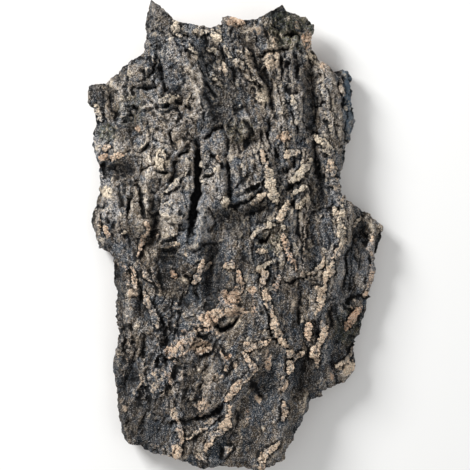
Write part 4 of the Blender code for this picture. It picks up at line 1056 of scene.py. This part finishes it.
def bark_body():
    """The closed body: places in sheet millimetres, triangles, the material of each, and the looks."""
    rim = torn_rim(RIM_SPACING * MM)
    around = len(rim)
    inward = rim_inward(rim)
    top, top_triangles, looks = outer_face(rim)
    low_rim = rim + inward * (1.3 + 1.1 * noise(rim[:, 0], rim[:, 1], 9, 9, 52))[:, None]
    for _ in range(RIM_SMOOTHING):
        low_rim = (np.roll(low_rim, 1, axis=0) + 2 * low_rim + np.roll(low_rim, -1, axis=0)) / 4
    low, low_triangles = inner_face(low_rim)
    wall = torn_wall(top[:around], low[:around], inward)

    low_start = len(top)
    wall_start = low_start + len(low)
    places = np.concatenate([top, low] + wall)
    ring_starts = [0] + [wall_start + around * k for k in range(len(wall))] + [low_start]
    wall_triangles = wall_between(ring_starts, around)
    triangles = np.concatenate([top_triangles[:, ::-1], wall_triangles, low_start + low_triangles])
    kinds = np.repeat([0, 1, 2], [len(top_triangles), len(wall_triangles), len(low_triangles)])
    painted = {}
    for name in PAINTED_LOOKS:
        on_wall = np.tile(looks[name][:around], len(wall))
        painted[name] = np.concatenate([looks[name], np.full(len(low), 0.5), on_wall])
    return places, triangles, kinds, painted


def to_metres(places):
    """Sheet millimetres to the object's own metres."""
    x = (places[:, 0] - SHEET_MIDDLE[0]) / MM
    y = (SHEET_MIDDLE[1] - places[:, 1]) / MM
    return np.stack([x, y, places[:, 2] / MM], axis=1)


def make_mesh(name, places, triangles):
    """A mesh of the given places in metres and triangles."""
    mesh = bpy.data.meshes.new(name)
    mesh.vertices.add(len(places))
    mesh.vertices.foreach_set("co", places.ravel())
    mesh.loops.add(3 * len(triangles))
    mesh.loops.foreach_set("vertex_index", triangles.ravel())
    mesh.polygons.add(len(triangles))
    mesh.polygons.foreach_set("loop_start", np.arange(0, 3 * len(triangles), 3))
    mesh.update(calc_edges=True)
    mesh.validate()
    mesh.shade_flat()
    return mesh


def set_looks(mesh, looks):
    """Stores each look as a number at each of the mesh's places."""
    for name, values in looks.items():
        layer = mesh.attributes.new(name, "FLOAT", "POINT")
        layer.data.foreach_set("value", values.astype(np.float32))


def srgb(red, green, blue):
    """Linear colour of a display colour whose parts are given from 11 to 255."""
    return [((part / 255 + 0.055) / 1.055) ** 2.4 for part in (red, green, blue)] + [1]


BLACK = srgb(14, 14, 15)
DARK_CRUST = srgb(47, 48, 51)
COOL_DARK_CRUST = srgb(38, 47, 56)
WARM_DARK_CRUST = srgb(57, 50, 43)
GREY_CRUST = srgb(128, 126, 124)
COOL_CRUST = srgb(93, 101, 111)
WARM_CRUST = srgb(148, 132, 112)
PALE_CRUST = srgb(206, 201, 196)
BEIGE_CORK = srgb(246, 229, 202)
TAN_CORK = srgb(244, 194, 156)
BROWN_CORK = srgb(132, 104, 86)
PALE_CORK = srgb(255, 246, 228)
MOSS_GREEN = srgb(70, 74, 36)
BLUE_SHADE_CRUST = srgb(92, 108, 122)
INNER_BROWN = srgb(122, 86, 56)
INNER_TAN = srgb(178, 136, 96)
INNER_STAIN = srgb(92, 66, 46)
INNER_PALE = srgb(206, 172, 132)
INNER_PORE = srgb(48, 34, 26)
OFF_WHITE = (0.86, 0.86, 0.85, 1)


class Painter:
    """Adds nodes to one material."""

    def __init__(self, name):
        self.material = bpy.data.materials.new(name)
        self.material.use_nodes = True
        self.tree = self.material.node_tree
        self.shader = self.tree.nodes["Principled BSDF"]
        self.places = self.add("ShaderNodeTexCoord").outputs["Object"]

    def add(self, kind, **settings):
        """A new node with the given settings."""
        node = self.tree.nodes.new(kind)
        for name, value in settings.items():
            setattr(node, name, value)
        return node

    def feed(self, socket, value):
        """Links or sets a socket."""
        if isinstance(value, bpy.types.NodeSocket):
            self.tree.links.new(value, socket)
        else:
            socket.default_value = value

    def look(self, name):
        """A stored look."""
        return self.add("ShaderNodeAttribute", attribute_name=name).outputs["Fac"]

    def stretched(self, x, y, z):
        """Places stretched so that patterns run longer where the factor is small."""
        node = self.add("ShaderNodeVectorMath", operation="MULTIPLY")
        self.feed(node.inputs[0], self.places)
        node.inputs[1].default_value = (x, y, z)
        return node.outputs["Vector"]

    def noise(self, scale, detail=2.0, roughness=0.6, where=None, distortion=0.0):
        """Soft noise with about scale swells to the metre."""
        node = self.add("ShaderNodeTexNoise")
        self.feed(node.inputs["Vector"], where or self.places)
        node.inputs["Scale"].default_value = scale
        node.inputs["Detail"].default_value = detail
        node.inputs["Roughness"].default_value = roughness
        node.inputs["Distortion"].default_value = distortion
        return node.outputs["Fac"]

    def cracks(self, scale):
        """Distance to the nearest edge between cells, with about scale cells to the metre."""
        node = self.add("ShaderNodeTexVoronoi", feature="DISTANCE_TO_EDGE")
        self.feed(node.inputs["Vector"], self.places)
        node.inputs["Scale"].default_value = scale
        return node.outputs["Distance"]

    def math(self, operation, a, b, clamp=False):
        """One operation on two values."""
        node = self.add("ShaderNodeMath", operation=operation, use_clamp=clamp)
        self.feed(node.inputs[0], a)
        self.feed(node.inputs[1], b)
        return node.outputs[0]

    def total(self, first, *others):
        """All the values added."""
        for other in others:
            first = self.math("ADD", first, other)
        return first

    def product(self, first, *others):
        """All the values multiplied."""
        for other in others:
            first = self.math("MULTIPLY", first, other)
        return first

    def swing(self, value, amount):
        """How far the value is from a half, times the amount."""
        return self.math("MULTIPLY", self.math("SUBTRACT", value, 0.5), amount)

    def span(self, value, low, high, to_low=0.0, to_high=1.0):
        """The value's run from low to high, spread from to_low to to_high and held there beyond."""
        node = self.add("ShaderNodeMapRange", clamp=True)
        self.feed(node.inputs["Value"], value)
        node.inputs["From Min"].default_value = low
        node.inputs["From Max"].default_value = high
        node.inputs["To Min"].default_value = to_low
        node.inputs["To Max"].default_value = to_high
        return node.outputs["Result"]

    def mix(self, factor, a, b):
        """Two colours mixed."""
        node = self.add("ShaderNodeMix", data_type="RGBA")
        self.feed(node.inputs["Factor"], factor)
        self.feed(node.inputs[6], a)
        self.feed(node.inputs[7], b)
        return node.outputs[2]

    def bump(self, height, depth, before=None):
        """Bumps of that depth in metres, on top of any before."""
        node = self.add("ShaderNodeBump")
        node.inputs["Strength"].default_value = 1.0
        node.inputs["Distance"].default_value = depth
        self.feed(node.inputs["Height"], height)
        if before is not None:
            self.feed(node.inputs["Normal"], before)
        return node.outputs["Normal"]

    def finish(self, colour, roughness, gloss, bumps=None):
        """Gives the shader its values, and gives the material."""
        self.feed(self.shader.inputs["Base Color"], colour)
        self.feed(self.shader.inputs["Roughness"], roughness)
        self.feed(self.shader.inputs["Specular IOR Level"], gloss)
        if bumps is not None:
            self.feed(self.shader.inputs["Normal"], bumps)
        return self.material


def outer_patterns(p):
    """The looks and patterns that the outer face's colours and bumps share."""
    seen = SimpleNamespace()
    seen.grit = p.noise(680, 3, 0.8)
    seen.dust = p.noise(1250, 2, 0.7)
    seen.mottle = p.noise(300, 3, 0.7, distortion=0.5)
    seen.cloud = p.noise(75, 3, 0.6)
    seen.fibre = p.noise(420, 3, 0.6, where=p.stretched(1.0, 0.16, 0.6))
    seen.crackle = p.span(p.cracks(260), 0.0, 0.05)
    for name in ("pit", "hollow", "rough", "block", "chunk", "dark"):
        setattr(seen, name, p.look(name))
    seen.coarse = p.product(
        p.span(seen.rough, 0.1, 0.8, 0.6, 1.0),
        p.span(seen.cloud, 0.38, 0.62, 0.6, 1.35),
    )
    return seen


def crust_colour(p, seen):
    """Grey crust, cool here and warm there: painted shade in dents and hollows, pale on plates, with moss
    and bluish painted shade on the wall at the right edge.
    """
    speckle = p.total(
        p.swing(p.span(seen.mottle, 0.36, 0.66), 0.35),
        p.swing(p.span(seen.grit, 0.40, 0.60), 1.4),
        p.swing(seen.fibre, 0.5),
        p.swing(p.span(seen.dust, 0.38, 0.62), 1.3),
    )
    # Crust lightness: painted highlight on raised places, painted shade in pits, hollows and dark places
    light = p.total(
        p.product(speckle, seen.coarse),
        p.span(seen.rough, 0.1, 0.6, 0.09, 0.31),
        p.swing(seen.chunk, 0.10),
        p.swing(seen.block, p.span(seen.rough, 0.1, 0.8, 0.08, 0.35)),
        p.swing(seen.cloud, 0.5),
        p.swing(seen.pit, -0.4),
        p.swing(seen.hollow, -0.3),
        p.product(p.look("pale"), 0.50),
        p.product(seen.dark, -0.30),
    )
    tint = p.noise(190, 3, 0.75, where=p.stretched(1.0, 0.6, 1.0))
    hue = p.span(p.total(tint, p.swing(seen.chunk, 0.2)), 0.40, 0.60)
    dark_crust = p.mix(hue, COOL_DARK_CRUST, WARM_DARK_CRUST)
    crust = p.mix(p.span(light, 0.05, 0.55), dark_crust, p.mix(hue, COOL_CRUST, WARM_CRUST))
    crust = p.mix(p.span(light, 0.55, 1.20), crust, PALE_CRUST)
    crust = p.mix(p.span(p.noise(950, 2, 0.6), 0.57, 0.65, 0.0, 0.8), crust, PALE_CRUST)
    # Bluish painted shade, mostly on the wall at the right edge
    crust = p.mix(p.product(p.look("blue"), p.span(seen.cloud, 0.3, 0.6)), crust, BLUE_SHADE_CRUST)
    return p.mix(p.product(p.look("moss"), p.span(seen.mottle, 0.42, 0.6)), crust, MOSS_GREEN)


def cork_colour(p, seen):
    """Bare cork: beige to tan, with brown and black grains, pale dust and some crust left on it."""
    warm = p.total(p.look("warmth"), p.swing(seen.mottle, 1.2))
    cork = p.mix(p.span(warm, 0.1, 0.9), BEIGE_CORK, TAN_CORK)
    cork = p.mix(p.span(seen.grit, 0.52, 0.36, 0.0, 0.8), cork, BROWN_CORK)
    cork = p.mix(p.span(seen.dust, 0.44, 0.34, 0.0, 0.7), cork, DARK_CRUST)
    cork = p.mix(p.span(seen.dust, 0.53, 0.62, 0.0, 0.9), cork, PALE_CORK)
    return p.mix(p.span(p.noise(160, 3, 0.6), 0.46, 0.66, 0.0, 0.4), cork, WARM_CRUST)


def bare_share(p, seen):
    """How much bare cork shows: on crests and patches, and on raised places as wear and as painted
    highlight.
    """
    bare = p.total(
        p.product(p.look("cork"), 0.96),
        p.swing(seen.mottle, 1.1),
        p.swing(seen.chunk, 0.3),
        p.swing(seen.grit, 1.2),
        # Raised places show more bare cork: wear, and painted highlight
        p.swing(seen.pit, -0.5),
        p.swing(seen.cloud, 1.8),
        p.swing(seen.block, 0.7),
        p.product(seen.dark, -0.15),
    )
    # Raised places show pale bare cork, as worn edges and as a painted highlight
    worn_and_highlit = p.product(
        p.span(seen.pit, 0.42, 0.15),
        p.span(p.noise(130, 4, 0.7), 0.48, 0.60, 0.0, 0.8),
        p.span(seen.rough, 0.12, 0.4),
    )
    return p.math("MAXIMUM", p.span(bare, 0.42, 1.0, 0.0, 0.95), worn_and_highlit)


def dark_and_shade_share(p, seen):
    """How much the colour is darkened: painted shade in pits, hollows and splits, dark cracks, dark places.
    """
    # Painted shade in pits (with dirt gathered there), hollows, deep splits and crest rings; dark cracks;
    # dark places
    kept = p.product(
        p.span(seen.pit, 0.70, 0.95, 1.0, 0.12),
        p.span(seen.hollow, 0.62, 0.95, 1.0, 0.45),
        p.math("MAXIMUM", seen.crackle, 0.65),
        p.span(p.look("crack"), 0.25, 0.9, 1.0, 0.2),
        p.span(seen.dark, 0.1, 0.9, 1.0, 0.5),
        p.span(p.look("split"), 0.25, 0.8, 1.0, 0.08),
    )
    return p.math("SUBTRACT", 1.0, kept, clamp=True)


def outer_bark_material():
    """Weathered outer face: grey crust, painted shade in furrows, bare cork on crests, a little moss."""
    p = Painter("weathered_bark")
    seen = outer_patterns(p)
    colour = p.mix(bare_share(p, seen), crust_colour(p, seen), cork_colour(p, seen))
    # Darkened towards black: painted shade in pits, hollows, splits and crest rings, dark cracks and places
    colour = p.mix(dark_and_shade_share(p, seen), colour, BLACK)
    bumps = p.bump(seen.crackle, 0.0003)
    bumps = p.bump(p.product(seen.grit, seen.coarse), 0.0012, bumps)
    bumps = p.bump(seen.fibre, 0.0006, bumps)
    return p.finish(colour, p.span(seen.mottle, 0.3, 0.7, 0.98, 0.72), 0.25, bumps)


def torn_edge_material():
    """Torn edge: brown cork in thin layers, dark with weather."""
    p = Painter("torn_cork")
    layers = p.noise(520, 3, 0.6, where=p.stretched(0.16, 0.16, 1.0))
    grit = p.noise(900, 3, 0.7)
    weather = p.span(p.noise(190, 3, 0.6), 0.42, 0.62, 0.0, 0.45)
    cork = p.mix(p.span(layers, 0.35, 0.62), BROWN_CORK, TAN_CORK)
    crust = p.mix(p.span(grit, 0.35, 0.65), DARK_CRUST, GREY_CRUST)
    colour = p.mix(weather, crust, cork)
    colour = p.mix(p.span(grit, 0.42, 0.3, 0.0, 0.8), colour, BLACK)
    bumps = p.bump(grit, 0.0009, p.bump(layers, 0.0009))
    return p.finish(colour, p.span(layers, 0.3, 0.7, 0.98, 0.8), 0.25, bumps)


def inner_face_material():
    """Hollow inner face: smoother light brown cork with streaks along the grain, pores and fine cracks."""
    p = Painter("inner_cork")
    streaks = p.noise(240, 4, 0.6, where=p.stretched(1.0, 0.05, 0.5))
    fine_streaks = p.noise(900, 3, 0.6, where=p.stretched(1.0, 0.10, 0.5))
    cracks = p.span(p.cracks(150), 0.0, 0.05)
    colour = p.mix(p.span(streaks, 0.32, 0.68), INNER_BROWN, INNER_TAN)
    colour = p.mix(p.span(p.noise(28, 3, 0.6), 0.40, 0.70, 0.0, 0.55), colour, INNER_STAIN)
    colour = p.mix(p.span(fine_streaks, 0.58, 0.74, 0.0, 0.5), colour, INNER_PALE)
    colour = p.mix(p.span(p.noise(520, 2, 0.5), 0.60, 0.68, 0.0, 0.85), colour, INNER_PORE)
    bumps = p.bump(fine_streaks, 0.0005, p.bump(streaks, 0.0009))
    bumps = p.bump(cracks, 0.0004, bumps)
    return p.finish(colour, p.span(streaks, 0.3, 0.7, 0.92, 0.75), 0.3, bumps)


def build_bark():
    """The bark as one closed mesh, in place of the coarse solid."""
    places, triangles, kinds, looks = bark_body()
    if len(triangles) > MOST_TRIANGLES:
        raise ValueError("the bark has too many triangles")
    mesh = make_mesh("bark", to_metres(places), triangles)
    set_looks(mesh, looks)
    for material in (outer_bark_material(), torn_edge_material(), inner_face_material()):
        mesh.materials.append(material)
    mesh.polygons.foreach_set("material_index", kinds)
    bark = bpy.data.objects.new("bark", mesh)
    bpy.context.scene.collection.objects.link(bark)
    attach(bark, "root")
    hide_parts("cork_bark")


def floor_material():
    """Matt off-white."""
    return Painter("pale_floor").finish(OFF_WHITE, 0.9, 0.1)


def build_floor():
    """A wide pale floor under the bark."""
    side = FLOOR_REACH
    mesh = bpy.data.meshes.new("floor")
    corners = [(-side, -side, 0), (side, -side, 0), (side, side, 0), (-side, side, 0)]
    mesh.from_pydata(corners, [], [(0, 1, 2, 3)])
    mesh.materials.append(floor_material())
    floor = bpy.data.objects.new("floor", mesh)
    bpy.context.scene.collection.objects.link(floor)
    floor.location.z = -FLOOR_GAP


def add_light(name, place, side, power):
    """A soft square light that faces the bark."""
    data = bpy.data.lights.new(name, "AREA")
    data.size = side
    data.energy = power
    light = bpy.data.objects.new(name, data)
    bpy.context.scene.collection.objects.link(light)
    light.location = place
    light.rotation_euler = Vector(place).to_track_quat("Z", "Y").to_euler()


def build_lights():
    """Soft light from the upper left, with an even pale surround."""
    add_light("key_light", (-1.2, 1.1, 1.1), side=0.7, power=46)
    add_light("fill_light", (1.3, -0.6, 1.6), side=1.4, power=7)
    world = bpy.data.worlds.new("studio")
    world.use_nodes = True
    surround = world.node_tree.nodes["Background"]
    surround.inputs["Color"].default_value = (1, 1, 1, 1)
    surround.inputs["Strength"].default_value = 0.50
    bpy.context.scene.world = world


def build_camera():
    """Straight above the bark, framed as the sheet."""
    data = bpy.data.cameras.new("camera")
    data.sensor_width = SENSOR_WIDTH
    data.lens = SENSOR_WIDTH * (CAMERA_HEIGHT - FRAMED_LEVEL) / PICTURE_SIDE
    camera = bpy.data.objects.new("camera", data)
    bpy.context.scene.collection.objects.link(camera)
    camera.location = (0, 0, CAMERA_HEIGHT)
    bpy.context.scene.camera = camera


build_bark()
build_floor()
build_lights()
build_camera()
bpy.context.scene.view_settings.view_transform = "Standard"
